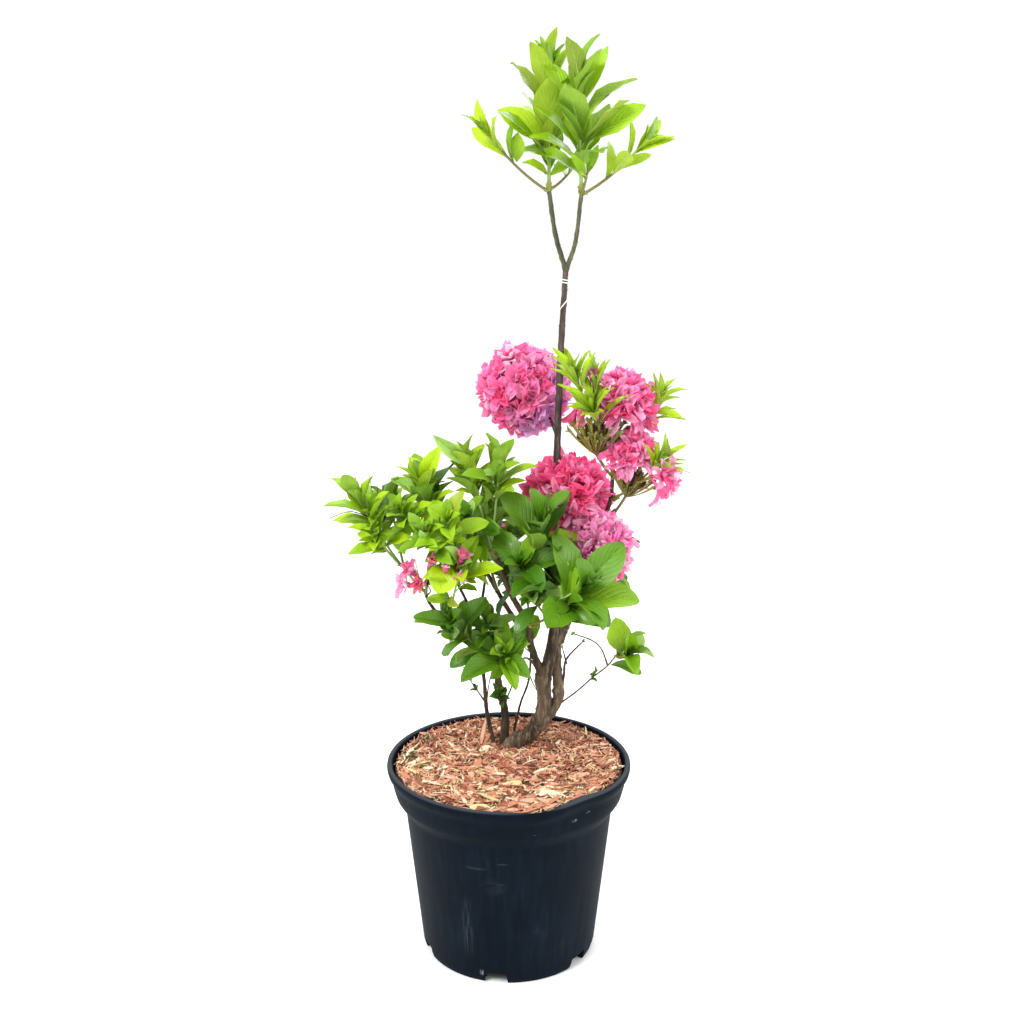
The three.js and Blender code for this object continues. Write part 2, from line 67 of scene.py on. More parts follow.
# %% [markdown]
# ## Camera and light
# The plant is looked down on a little, from about 1.3 m away, as by somebody who stands in a
# garden centre. A long lens would flatten it and a wide one would swell the pot, so a lens a
# little under 50 mm is used. The light is that of a white tent: a bright surround with one big
# soft lamp high on the left, a weaker one on the right, and a third one high up behind.

# %% Camera
SENSOR = 36.0
LENS = 45.703125
CAMERA_PLACE = (0.0035, -1.292, 0.795)
CAMERA_PITCH = 13.59

camera = bpy.data.objects.new("camera", bpy.data.cameras.new("camera"))
camera.data.sensor_width = SENSOR
camera.data.lens = LENS
camera.location = CAMERA_PLACE
camera.rotation_euler = (math.radians(90 - CAMERA_PITCH), 0, 0)
bpy.context.scene.collection.objects.link(camera)
bpy.context.scene.camera = camera
print("lens in mm:", round(camera.data.lens, 1))


# %% Lamps and surround
def to_linear(text, alpha=1.0):
    """An sRGB hex colour as the linear colour that Blender works in."""
    channels = [int(text[i : i + 2], 16) / 255 for i in (1, 3, 5)]
    linear = [c / 12.92 if c <= 0.04045 else ((c + 0.055) / 1.055) ** 2.4 for c in channels]
    return (*linear, alpha)


PLANT_MIDDLE = Vector((0, 0, 0.5))
LAMPS = [  # name, place, size in metres, watts
    ("key_lamp", (-1.3, -1.5, 2.3), 1.1, 62),
    ("fill_lamp", (1.8, -0.9, 1.4), 1.4, 18),
    ("back_lamp", (0.6, 1.9, 2.0), 1.2, 30),
]
for name, place, size, watts in LAMPS:
    lamp = bpy.data.lights.new(name, "AREA")
    lamp.shape = "DISK"
    lamp.size = size
    lamp.energy = watts
    holder = bpy.data.objects.new(name, lamp)
    holder.location = place
    holder.rotation_euler = (PLANT_MIDDLE - Vector(place)).to_track_quat("-Z", "Y").to_euler()
    bpy.context.scene.collection.objects.link(holder)

SURROUND_STRENGTH = 1.03
surround = bpy.data.worlds.new("surround")
surround.use_nodes = True
surround_inputs = surround.node_tree.nodes["Background"].inputs
surround_inputs["Color"].default_value = to_linear("#ffffff")
surround_inputs["Strength"].default_value = SURROUND_STRENGTH
bpy.context.scene.world = surround
bpy.context.scene.view_settings.view_transform = "Standard"
print("lamps:", len(LAMPS))


# %% [markdown]
# ## Finishes
# Each finish begins with the real material and how its surface came about. One small function
# adds a node with its settings and its links, and a second one gives the Principled shader that
# every finish shares. What is the same all over a surface goes straight onto the shader's socket.

# %% Node helpers
def fill(tree, node, inputs):
    """Sets or links a node's inputs: a table by name, or a list in the node's own order."""
    for key, value in inputs.items() if isinstance(inputs, dict) else enumerate(inputs):
        if isinstance(value, bpy.types.Node):
            value = value.outputs[0]
        if isinstance(value, bpy.types.NodeSocket):
            tree.links.new(value, node.inputs[key])
        else:
            node.inputs[key].default_value = value


def add(tree, kind, inputs=(), **settings):
    """Adds a node, sets its properties, and fills or links its inputs."""
    node = tree.nodes.new(kind)
    for key, value in settings.items():
        setattr(node, key, value)
    fill(tree, node, inputs)
    return node


def blank_finish(name, **shader_values):
    """A material with only a Principled shader, its output, and places on the object."""
    material = bpy.data.materials.new(name)
    material.use_nodes = True
    tree = material.node_tree
    shader = tree.nodes["Principled BSDF"]
    fill(tree, shader, {key.replace("_", " "): value for key, value in shader_values.items()})
    return material, tree, shader, add(tree, "ShaderNodeTexCoord").outputs["Object"]


def grain(scale, detail, roughness=0.55):
    """The inputs of a noise, without its place."""
    return {"Scale": scale, "Detail": detail, "Roughness": roughness}


def set_stops(ramp, *stops):
    """Colours at places along a colour ramp."""
    while len(ramp.elements) < len(stops):
        ramp.elements.new(0.5)
    for element, (place, colour) in zip(ramp.elements, stops):
        element.position = place
        element.color = to_linear(colour)


# %% [markdown]
# ### Blades: leaves and petals
# A leaf is a thin wet film between two waxy skins. Light glances off the wax and also passes
# through, which is why a leaf against the light looks yellower than one lit from the front. A
# Principled shader mixed with a Translucent one gives both. Every tone is a finish of its own
# with one plain colour, and the tones are dealt out leaf by leaf, so that they keep their place
# when the model is exported. The veins follow the blade, so they are drawn on its own UV map,
# whose x runs from edge to edge and whose y runs from root to tip.


# %% Blade finishes
PLANT_IOR = 1.45
VEIN_WIDTH = 0.22
BLADE_MOTTLE = grain(90.0, 3.0)
BLADE_PORES = grain(450.0, 2.0)
ROOT_SHADE = (0.0, 0.6)
EDGE_SHADE = (0.3, 0.5)


def vein_lines(tree, aside, along, pairs, slant):
    """1 on a vein and 0 between two: `pairs` of side veins that slant towards the tip."""
    rows = add(tree, "ShaderNodeMath", [along, pairs], operation="MULTIPLY")
    lines = add(tree, "ShaderNodeMath", [aside, -slant, rows], operation="MULTIPLY_ADD")
    waves = add(tree, "ShaderNodeMath", [lines, 0.5], operation="PINGPONG")
    return add(tree, "ShaderNodeMapRange", [waves, 0.0, VEIN_WIDTH, 1.0, 0.0])


def blade_finish(name, colour, glow, skin, sheen):
    """A leaf's or petal's skin, from its colour, the light that comes through, and two tables.

    `aside` is how far a place is from the midrib, 0 to 0.5, and `along` runs from root to tip.
    """
    material, tree, shader, place = blank_finish(name, IOR=PLANT_IOR, **sheen)
    axes = add(tree, "ShaderNodeSeparateXYZ", [add(tree, "ShaderNodeUVMap", uv_map="blade")])
    along = axes.outputs["Y"]
    centred = add(tree, "ShaderNodeMath", [axes.outputs["X"], 0.5], operation="SUBTRACT")
    aside = add(tree, "ShaderNodeMath", [centred], operation="ABSOLUTE")
    vein = vein_lines(tree, aside, along, skin["pairs"], skin["slant"])
    mottle = add(tree, "ShaderNodeTexNoise", {"Vector": place} | BLADE_MOTTLE)
    soft = add(tree, "ShaderNodeMapRange", [mottle, 0.0, 1.0, *skin["mottle"]])
    from_root = add(tree, "ShaderNodeMapRange", [along, *ROOT_SHADE, skin["root"], skin["tip"]])
    to_edge = add(tree, "ShaderNodeMapRange", [aside, *EDGE_SHADE, 1.0, skin["edge"]])
    rooted = add(tree, "ShaderNodeMath", [soft, from_root], operation="MULTIPLY")
    shaded = add(tree, "ShaderNodeMath", [rooted, to_edge], operation="MULTIPLY")
    veined = [vein, skin["paleness"], shaded]
    value = add(tree, "ShaderNodeMath", veined, operation="MULTIPLY_ADD")
    tint = add(tree, "ShaderNodeHueSaturation", {"Color": to_linear(colour), "Value": value})
    pores = add(tree, "ShaderNodeTexNoise", {"Vector": place} | BLADE_PORES)
    height = add(tree, "ShaderNodeMath", [vein, pores], operation="ADD")
    depth = skin["relief"] * MM
    relief = add(tree, "ShaderNodeBump", {"Height": height, "Distance": depth, "Strength": 0.6})
    fill(tree, shader, {"Base Color": tint, "Normal": relief})
    glowing = add(tree, "ShaderNodeBsdfTranslucent", [to_linear(glow)])
    mixed = add(tree, "ShaderNodeMixShader", [skin["through"], shader, glowing])
    fill(tree, tree.nodes["Material Output"], {"Surface": mixed})
    return material


# %% Leaf and petal tones
UPPER_SKIN = {"pairs": 7, "slant": 7, "paleness": 0.22, "relief": -1.0, "root": 0.76, "tip": 1.06,
              "edge": 1.08, "through": 0.26, "mottle": (0.84, 1.14)}
UNDER_SKIN = UPPER_SKIN | {"paleness": 0.24, "relief": 0.9, "edge": 0.95}
# A petal is darker towards its root: painted shade in the floret's throat.
PETAL_SKIN = {"pairs": 0, "slant": 13, "paleness": 0.1, "relief": 0.4, "root": 0.9, "tip": 1.06,
              "edge": 1.06, "through": 0.56, "mottle": (0.94, 1.07)}
UPPER_SHEEN = {"Roughness": 0.38, "Specular_IOR_Level": 0.36, "Coat_Weight": 0.32,
               "Coat_Roughness": 0.4}
UNDER_SHEEN = {"Roughness": 0.6, "Specular_IOR_Level": 0.3}
PETAL_SHEEN = {"Roughness": 0.62, "Specular_IOR_Level": 0.25}
LEAF_TONES = {  # tone: upper side, light that comes through, underside
    "lime": ("#b4d616", "#d6ec26", "#acc83c"),
    "spring": ("#9ec81c", "#c8e230", "#9abe48"),
    "olive": ("#a0b82a", "#c4d83c", "#98ae48"),
    # The pale tone is partly a paler green and partly painted sheen, dealt to some leaves.
    "pale": ("#a4ca66", "#cae27a", "#a0c270"),
    "fresh": ("#82b018", "#b2d82a", "#86ac3c"),
    "mid": ("#649619", "#96be28", "#70963e"),
    "deep": ("#4c7f12", "#7eae20", "#608a36"),
    "dark": ("#38660e", "#649a18", "#4c762e"),
}
RIPE_TONES = ("mid", "deep", "dark")
RIPE_SHEEN = UPPER_SHEEN | {"Coat_Weight": 0.5, "Coat_Roughness": 0.28}
LEAF_FINISHES = {}
for tone, (upper, glow, under) in LEAF_TONES.items():
    upper_sheen = RIPE_SHEEN if tone in RIPE_TONES else UPPER_SHEEN
    LEAF_FINISHES[tone] = (
        blade_finish(f"leaf_upper_{tone}", upper, glow, UPPER_SKIN, upper_sheen),
        blade_finish(f"leaf_under_{tone}", under, glow, UNDER_SKIN, UNDER_SHEEN),
    )

PETAL_TONES = {  # tone: petal, light that comes through
    "deep": ("#fd80b8", "#fe96c6"),
    "rose": ("#fe9ecc", "#feb0d6"),
    "orchid": ("#fcaedc", "#fdc0e6"),
    "bright": ("#fec6e2", "#fed2ea"),
    "blush": ("#fee4f0", "#feeaf4"),
    "lilac": ("#f0c6ee", "#f6d4f4"),
    "coral": ("#fa9ea4", "#fbb0b2"),
}
PETAL_FINISHES = {
    tone: blade_finish(f"petal_{tone}", colour, glow, PETAL_SKIN, PETAL_SHEEN)
    for tone, (colour, glow) in PETAL_TONES.items()
}
print("leaf tones:", len(LEAF_FINISHES), "petal tones:", len(PETAL_FINISHES))


# %% [markdown]
# ### Wood, green shoots and the small parts of the flowers
# Azalea bark is a thin grey-brown skin that splits lengthwise into fine strips, with redder wood
# in the cracks. The pattern is therefore stretched along the stems, which mostly stand upright.
# Young shoots are green and slightly downy, so they are rough.


# %% Finishes of wood and shoots
WOOD_IOR = 1.5
BARK_STRETCH = (1, 1, 0.22)
BARK_STRIPS = grain(300.0, 6.0, 0.68)
BARK_PATCHES = grain(60.0, 3.0)
PATCH_SHARE = 0.36


def bark_finish(name, crack, skin, light):
    material, tree, shader, place = blank_finish(name, Roughness=0.85, IOR=WOOD_IOR)
    upright = add(tree, "ShaderNodeMapping", {"Vector": place, "Scale": BARK_STRETCH})
    strips = add(tree, "ShaderNodeTexNoise", {"Vector": upright} | BARK_STRIPS)
    patches = add(tree, "ShaderNodeTexNoise", {"Vector": upright} | BARK_PATCHES)
    fine = add(tree, "ShaderNodeValToRGB", [strips])
    set_stops(fine.color_ramp, (0.38, crack), (0.52, skin), (0.68, light))
    broad = add(tree, "ShaderNodeValToRGB", [patches])
    set_stops(broad.color_ramp, (0.38, crack), (0.64, light))
    inputs = {"Factor": PATCH_SHARE, "A": fine, "B": broad}
    mixed = add(tree, "ShaderNodeMix", inputs, data_type="RGBA").outputs["Result"]
    relief = add(tree, "ShaderNodeBump", {"Height": strips, "Distance": 1.4 * MM})
    fill(tree, shader, {"Base Color": mixed, "Normal": relief})
    return material


GROWTH_LOOK = {"ior": PLANT_IOR, "stretch": (1, 1, 1), "grain": grain(160.0, 3.0),
               "shades": (0.8, 1.2), "relief": 0.3 * MM, "strength": 0.5}


def plain_growth(name, colour, roughness, look=GROWTH_LOOK):
    """A shoot, stalk, scale or chip: one plain colour with a mottling and a fine relief."""
    material, tree, shader, place = blank_finish(name, Roughness=roughness, IOR=look["ior"])
    stretched = add(tree, "ShaderNodeMapping", {"Vector": place, "Scale": look["stretch"]})
    mottle = add(tree, "ShaderNodeTexNoise", {"Vector": stretched} | look["grain"])
    value = add(tree, "ShaderNodeMapRange", [mottle, 0.0, 1.0, *look["shades"]])
    tint = add(tree, "ShaderNodeHueSaturation", {"Color": to_linear(colour), "Value": value})
    inputs = {"Height": mottle, "Distance": look["relief"], "Strength": look["strength"]}
    fill(tree, shader, {"Base Color": tint, "Normal": add(tree, "ShaderNodeBump", inputs)})
    return material


BARK_TONES = {  # bark: name of its finish, colour of the cracks, skin and worn ridges
    "grey": ("bark_grey_brown", "#150e08", "#42311f", "#988268"),
    "leader": ("bark_leader", "#1c1411", "#3d302a", "#6e5f56"),
    "fork": ("bark_young_fork", "#1e1d13", "#3d3b28", "#6d6c4e"),
    "brown": ("bark_brown", "#170f08", "#372917", "#665338"),
    "red": ("bark_red_brown", "#1c120c", "#39291f", "#63503f"),
    "twig": ("bark_thin_twig", "#352c27", "#5a4f45", "#857b6e"),
}
GROWTH = {  # part: name of its finish, colour, roughness, slot
    "young_twig": ("young_twig", "#8cab58", 0.6, "young_leaves"),
    "twig": ("half_ripe_twig", "#75713f", 0.7, "bark"),
    "midrib": ("leaf_midrib", "#b2d06c", 0.5, "young_leaves"),
    "scale": ("bud_scale", "#8e9148", 0.6, "young_leaves"),
    "pedicel": ("flower_stalk", "#90873a", 0.65, "petals"),
    "bract": ("flower_bract", "#553a1e", 0.7, "petals"),
    "tube": ("flower_tube", "#e2588f", 0.55, "petals"),
    "filament": ("stamen_filament", "#f3a3c0", 0.5, "petals"),
    "spent": ("spent_stamen", "#e6dcb8", 0.7, "petals"),
    "anther": ("stamen_anther", "#5a3a1c", 0.7, "petals"),
}
BARK_FINISHES = {tone: bark_finish(*row) for tone, row in BARK_TONES.items()}
GROWTH_FINISHES = {part: plain_growth(*row[:3]) for part, row in GROWTH.items()}
print("bark finishes:", len(BARK_FINISHES), "growth finishes:", len(GROWTH_FINISHES))


# %% [markdown]
# ### Pot, wood chips, moss and string
# The pot is recycled black polypropylene from an injection mould: satin, blue-black, with dust
# dried into runs down its side. The chips are shredded softwood, orange where they are fresh and
# grey-brown where they have weathered. Each chip colour is its own plain finish.


# %% Finishes of the pot and what fills it
SCUFFS = [  # place, half length and half height in millimetres, grain across, how pale
    ((-34, -96, 138), (14, 2), (24, 1, 1300), 0.12),
    ((-6, -100, 145), (7, 1.5), (24, 1, 1300), 0.16),
    ((-14, -99, 118), (15, 13), (70, 1, 1300), 0.05),
    ((-42, -82, 66), (8, 44), (700, 1, 30), 0.1),
    ((-28, -88, 12), (4, 4), (500, 1, 30), 0.9),
    ((66, -96, 190), (4, 2), (260, 1, 300), 0.7),
    ((80, -88, 194), (3, 1.5), (260, 1, 300), 0.5),
    ((26, -112, 184), (2, 1.5), (260, 1, 300), 0.5),
]
SCUFF_DEPTH = 45
DUST_AND_RIM_HIGHLIGHT = "#868e98"
# The top of the rim is paler: partly wear and dust, partly a painted highlight where its top edge
# catches the light.
RIM_WEAR_AND_HIGHLIGHT = 0.17
RIM_PALE_FROM = 209.6 * MM
RIM_PALE_TO = 211.6 * MM
SCUFF_STREAKS = grain(1.0, 3.0)
POT_RUNS = grain(190.0, 5.0, 0.6)
POT_CLOUDS = grain(14.0, 4.0)
POT_PORES = grain(900.0, 2.0)


def scuff(tree, place, middle, half_size, across, strength):
    """Dust or a rubbed patch: a soft-edged oval on the front, broken up by a grain."""
    reach = (half_size[0], SCUFF_DEPTH, half_size[1])
    location = [-m / r for m, r in zip(middle, reach)]
    scale = [1 / (r * MM) for r in reach]
    inputs = {"Vector": place, "Location": location, "Scale": scale}
    oval = add(tree, "ShaderNodeMapping", inputs)
    far = add(tree, "ShaderNodeVectorMath", [oval], operation="LENGTH").outputs["Value"]
    inside = add(tree, "ShaderNodeMapRange", [far, 0.4, 1.0, strength, 0.0])
    drawn = add(tree, "ShaderNodeMapping", {"Vector": place, "Scale": across})
    streaks = add(tree, "ShaderNodeTexNoise", {"Vector": drawn} | SCUFF_STREAKS)
    broken = add(tree, "ShaderNodeMapRange", [streaks, 0.45, 0.62, 0.0, 1.0])
    return add(tree, "ShaderNodeMath", [inside, broken], operation="MULTIPLY")


def pot_finish():
    sheen = {"IOR": 1.49, "Specular_IOR_Level": 0.045}
    material, tree, shader, place = blank_finish("moulded_polypropylene", **sheen)
    upright = add(tree, "ShaderNodeMapping", {"Vector": place, "Scale": (1, 1, 0.05)})
    runs = add(tree, "ShaderNodeTexNoise", {"Vector": upright} | POT_RUNS)
    clouds = add(tree, "ShaderNodeTexNoise", {"Vector": place} | POT_CLOUDS)
    dust = add(tree, "ShaderNodeMath", [runs, clouds], operation="MULTIPLY")
    colour = add(tree, "ShaderNodeValToRGB", [dust])
    set_stops(colour.color_ramp, (0.2, "#070f18"), (0.36, "#0c1621"), (0.5, "#1a242e"))
    height = add(tree, "ShaderNodeSeparateXYZ", [place]).outputs["Z"]
    # Painted highlight mixed with wear: the top of the rim turns towards the pale dust colour.
    rim_wear_and_highlight = add(tree, "ShaderNodeMapRange", [height, RIM_PALE_FROM, RIM_PALE_TO, 0.0, RIM_WEAR_AND_HIGHLIGHT])
    for pale in [*[scuff(tree, place, *row) for row in SCUFFS], rim_wear_and_highlight]:
        inputs = {"Factor": pale, "A": colour, "B": to_linear(DUST_AND_RIM_HIGHLIGHT)}
        colour = add(tree, "ShaderNodeMix", inputs, data_type="RGBA").outputs["Result"]
    gloss = add(tree, "ShaderNodeMapRange", [clouds, 0.0, 1.0, 0.48, 0.68])
    pores = add(tree, "ShaderNodeTexNoise", {"Vector": place} | POT_PORES)
    inputs = {"Height": pores, "Distance": 0.12 * MM, "Strength": 0.6}
    relief = add(tree, "ShaderNodeBump", inputs)
    fill(tree, shader, {"Base Color": colour, "Roughness": gloss, "Normal": relief})
    return material


POT_FINISH = pot_finish()
CHIP_TONES = {
    "orange": "#c68463",
    "tan": "#dbaa8c",
    "rust": "#98573f",
    "brown": "#5f3a2b",
    "cream": "#eddcb8",
    "straw": "#d8ca8e",
}
CHIP_LOOK = {"ior": WOOD_IOR, "stretch": (1, 0.35, 1), "grain": grain(520.0, 4.0, 0.6),
             "shades": (0.56, 1.32), "relief": 0.5 * MM, "strength": 1.0}
CHIP_FINISHES = {
    tone: plain_growth(f"wood_chip_{tone}", colour, 0.9, CHIP_LOOK)
    for tone, colour in CHIP_TONES.items()
}
FINES_FINISH = plain_growth("damp_wood_fines", "#4a2e22", 0.95)
MOSS_FINISH = plain_growth("moss", "#50562a", 0.95)
STRING_FINISH = plain_growth("cotton_string", "#e9e7e2", 0.9)
COMPOST_FINISH = plain_growth("compost", "#211812", 1.0)
print("chip finishes:", len(CHIP_FINISHES))


# %% [markdown]
# ## Floor
# A plain pale floor that reaches beyond every view. It is stage, so it is not part of the plant.

# %% Floor
FLOOR_RADIUS = 40
floor_mesh = bmesh.new()
bmesh.ops.create_circle(floor_mesh, cap_ends=True, segments=64, radius=FLOOR_RADIUS)
floor_data = bpy.data.meshes.new("floor")
floor_mesh.to_mesh(floor_data)
floor_mesh.free()
floor = bpy.data.objects.new("floor", floor_data)
floor_sheen = {"Base_Color": to_linear("#fdfdfc"), "Roughness": 0.9}
floor_data.materials.append(blank_finish("pale_floor", **floor_sheen)[0])
bpy.context.scene.collection.objects.link(floor)
print("floor radius in metres:", FLOOR_RADIUS)


# %% [markdown]
# ## Shapes as arrays
# A shrub has thousands of small parts. Making an object for each would choke Blender, and the
# export drops instances. So each small shape is modelled once with bmesh, kept as arrays, bent
# for every copy, and all copies of a kind are joined into one mesh.


# %% Small shapes and heaps of them
class Shape:
    """A bmesh kept as arrays: its points, the corners of its faces in a row, and their sizes."""

    def __init__(self, bm):
        bmesh.ops.recalc_face_normals(bm, faces=bm.faces)
        bm.verts.index_update()
        self.points = np.array([v.co for v in bm.verts])
        self.corners = np.array([v.index for f in bm.faces for v in f.verts])
        self.sizes = np.array([len(f.verts) for f in bm.faces])
        self.under = np.array([int(f.normal.z < 0) for f in bm.faces])
        self.map = self.points[self.corners, :2] * (0.5, 1) + (0.5, 0)
        bm.free()


def finish_piece(name, mesh, finishes, replaced=(), crease=50):
    for material in finishes:
        mesh.materials.append(material)
    mesh.polygons.foreach_set("use_smooth", np.ones(len(mesh.polygons), bool))
    mesh.set_sharp_from_angle(angle=math.radians(crease))
    piece = bpy.data.objects.new(name, mesh)
    bpy.context.scene.collection.objects.link(piece)
    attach(piece, "root")
    if replaced:
        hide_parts(*replaced)
    mesh.calc_loop_triangles()
    print(f"{name}: {len(mesh.loop_triangles)} triangles")
    return piece


def heap_piece(name, heap, finishes, replaced=(), crease=50):
    """Joins a heap, which is a list of shapes and their bent points, into one mesh."""

    def joined(values, kind=np.int32):
        return np.concatenate(values).astype(kind).ravel()

    shapes, points = zip(*heap)
    firsts = np.cumsum([0, *map(len, points)])
    corners = joined([shape.corners + first for shape, first in zip(shapes, firsts)])
    sizes = joined([shape.sizes for shape in shapes])
    mesh = bpy.data.meshes.new(name)
    mesh.vertices.add(int(firsts[-1]))
    mesh.vertices.foreach_set("co", joined(points, np.float32))
    mesh.loops.add(len(corners))
    mesh.loops.foreach_set("vertex_index", corners)
    mesh.polygons.add(len(sizes))
    mesh.polygons.foreach_set("loop_start", joined([[0], np.cumsum(sizes)[:-1]]))
    if len(finishes) > 1:
        mesh.polygons.foreach_set("material_index", joined([shape.under for shape in shapes]))
    blade_map = mesh.uv_layers.new(name="blade")
    blade_map.uv.foreach_set("vector", joined([shape.map for shape in shapes], np.float32))
    mesh.update(calc_edges=True)
    return finish_piece(name, mesh, finishes, replaced, crease)


def bmesh_piece(name, bm, finishes, replaced=(), crease=40):
    mesh = bpy.data.meshes.new(name)
    bm.to_mesh(mesh)
    bm.free()
    return finish_piece(name, mesh, finishes, replaced, crease)


# %% [markdown]
# ## Curves and tubes
# Stems, twigs, stalks and stamens are all tubes along a curve. A unit tube is a cylinder cut into
# rings; its rings are then carried along the curve, each turned as little as possible from the
# one before, so that the tube never twists.


# %% Curves
def smooth_curve(path):
    """A curve through all the places of a path, as the CAD model's limbs follow it."""
    places = [2 * path[0] - path[1], *path, 2 * path[-1] - path[-2]]

    def at(t):
        along = min(max(t, 0.0), 1.0) * (len(path) - 1)
        step = min(int(along), len(path) - 2)
        w = along - step
        a, b, c, d = places[step : step + 4]
        rise_b, rise_c = (c - a) / 2, (d - b) / 2
        bend = 2 * (b - c) + rise_b + rise_c
        return b + rise_b * w + (3 * (c - b) - 2 * rise_b - rise_c) * w**2 + bend * w**3

    return at


def curve_through(places):
    """A smooth curve through places given in millimetres."""
    return smooth_curve([mm(p) for p in places])


TWIG_BOW = 0.12
TANGENT_STEP = 1e-3


def twig_curve(start, end):
    """A twig that sags a little, so that its tip turns upwards."""
    middle = (start + end) / 2
    middle.z -= TWIG_BOW * (end - start).length
    return lambda t: start * (1 - t) ** 2 + middle * 2 * t * (1 - t) + end * t * t


def tangent(curve, t):
    low, high = max(t - TANGENT_STEP, 0), min(t + TANGENT_STEP, 1)
    return (curve(high) - curve(low)).normalized()


def sideways(axis):
    """Two directions square to an axis."""
    across = Vector((0, 0, 1)) if abs(axis.z) < 0.9 else Vector((1, 0, 0))
    u = across.cross(axis).normalized()
    return u, axis.cross(u)


def leaning(axis, angle, turn):
    """A direction at an angle to an axis, turned about it."""
    u, v = sideways(axis)
    return axis * math.cos(angle) + (u * math.cos(turn) + v * math.sin(turn)) * math.sin(angle)


# %% Tubes
@lru_cache(maxsize=None)
def unit_tube(sides, rings):
    bm = bmesh.new()
    bmesh.ops.create_cone(
        bm, cap_ends=True, cap_tris=False, segments=sides, radius1=1, radius2=1, depth=1
    )
    if rings > 1:
        upright = [e for e in bm.edges if abs(e.verts[0].co.z - e.verts[1].co.z) > 0.5]
        bmesh.ops.subdivide_edges(bm, edges=upright, cuts=rings - 1, use_grid_fill=True)
    return Shape(bm)


def add_tube(heap, curve, radius_at, sides, rings, relief=None):
    """Lays a closed tube along a curve. `relief` gives each point a share of extra radius."""
    shape = unit_tube(sides, rings)
    frames = np.empty((rings + 1, 3, 3))
    radii = np.empty(rings + 1)
    normal = sideways(tangent(curve, 0))[0]
    for i in range(rings + 1):
        t = i / rings
        along = tangent(curve, t)
        normal = (normal - along * normal.dot(along)).normalized()
        frames[i] = (curve(t), normal, along.cross(normal))
        radii[i] = radius_at(t)
    ring = np.rint((shape.points[:, 2] + 0.5) * rings).astype(int)
    out = shape.points[:, 0:1] * frames[ring, 1] + shape.points[:, 1:2] * frames[ring, 2]
    radius = radii[ring][:, None]
    if relief:
        points = frames[ring, 0] + out * radius
        extra = [relief(point, step / rings) for point, step in zip(points, ring)]
        radius = radius * (1 + np.array(extra))[:, None]
    heap.append((shape, frames[ring, 0] + out * radius))


print("a unit tube has", len(unit_tube(6, 4).sizes), "faces")

# %% [markdown]
# ## The pot
# A nursery pot is blown thin and stiffened by a rolled lip, a band below it and a shoulder. Its
# half section is drawn once and spun round, and the drainage notches at its foot are then cut out
# with a Boolean modifier, which is applied so that the piece is a plain mesh.

# %% Pot
POT_STEPS = 128
NOTCH_COUNT = 6
NOTCH_TURN = math.radians(-98)
NOTCH = {"depth": 15, "width": 25, "height": 12.5, "radius": 94, "rounding": 1.5}
NOTCH_TOP = 0.88
NOTCH_FOOT = 1.06

pot_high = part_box("pot")[1]
rim = pot_high.x / MM
height = pot_high.z / MM
POT_SECTION = [
    (0, 0), (89.5, 0), (91.2, 0.5), (92.2, 2), (94, 8), (110.8, 160.5), (111.6, 163.6),
    (113, 166.4), (119.2, 174.6), (120.9, 177.4), (121.8, 180.4), (124.1, 189), (124.7, 193),
    (125.7, 196.8), (rim - 2.6, height - 11.8), (rim - 0.9, height - 9), (rim - 0.1, height - 6),
    (rim, height - 4.2), (rim - 0.3, height - 2), (rim - 1.1, height - 0.7),
    (rim - 2.4, height - 0.05), (rim - 3.8, height - 0.2), (rim - 5, height - 0.9),
    (rim - 6, height - 2.6), (rim - 6.6, height - 6), (122.2, 194), (118.6, 177.6), (108.8, 164.4),
    (91.6, 8), (86, 3), (0, 3),
]
RIM_WAVES = [  # turn in degrees, width in degrees, inwards and upwards in millimetres
    (-52, 13, 5.0, 2.0),
    (-76, 11, -1.0, -2.4),
]
SOFT_HEIGHTS = (165, 205)
SOFT_RADII = (70, 120)


def share_between(values, low, high):
    return np.clip((values - low) / (high - low), 0, 1)


def bend_rim(points):
    """The soft pot gives way where it was held: places near the rim move inwards and up."""
    turn = np.degrees(np.arctan2(points[:, 1], points[:, 0]))
    radius = np.maximum(np.hypot(points[:, 0], points[:, 1]) / MM, 1)
    near = share_between(points[:, 2] / MM, *SOFT_HEIGHTS) * share_between(radius, *SOFT_RADII) ** 2
    bent = points.copy()
    for middle, width, inwards, upwards in RIM_WAVES:
        share = near * np.exp(-(((turn - middle) / width) ** 2))
        bent[:, :2] *= (1 - inwards * share / radius)[:, None]
        bent[:, 2] += upwards * share * MM
    return bent


def bend_mesh(mesh):
    places = np.empty(3 * len(mesh.vertices), np.float32)
    mesh.vertices.foreach_get("co", places)
    mesh.vertices.foreach_set("co", bend_rim(places.reshape(-1, 3)).ravel())
    mesh.update()


def spun(section, steps):
    """A section, as radius and height in millimetres, spun round the upright axis."""
    bm = bmesh.new()
    corners = [bm.verts.new((r * MM, 0, z * MM)) for r, z in section]
    edges = [bm.edges.new(pair) for pair in zip(corners, corners[1:])]
    bmesh.ops.spin(
        bm, geom=corners + edges, cent=(0, 0, 0), axis=(0, 0, 1), angle=2 * math.pi,
        steps=steps, use_merge=True, use_duplicate=False,
    )
    bmesh.ops.remove_doubles(bm, verts=bm.verts, dist=0.02 * MM)
    bmesh.ops.recalc_face_normals(bm, faces=bm.faces)
    return bm


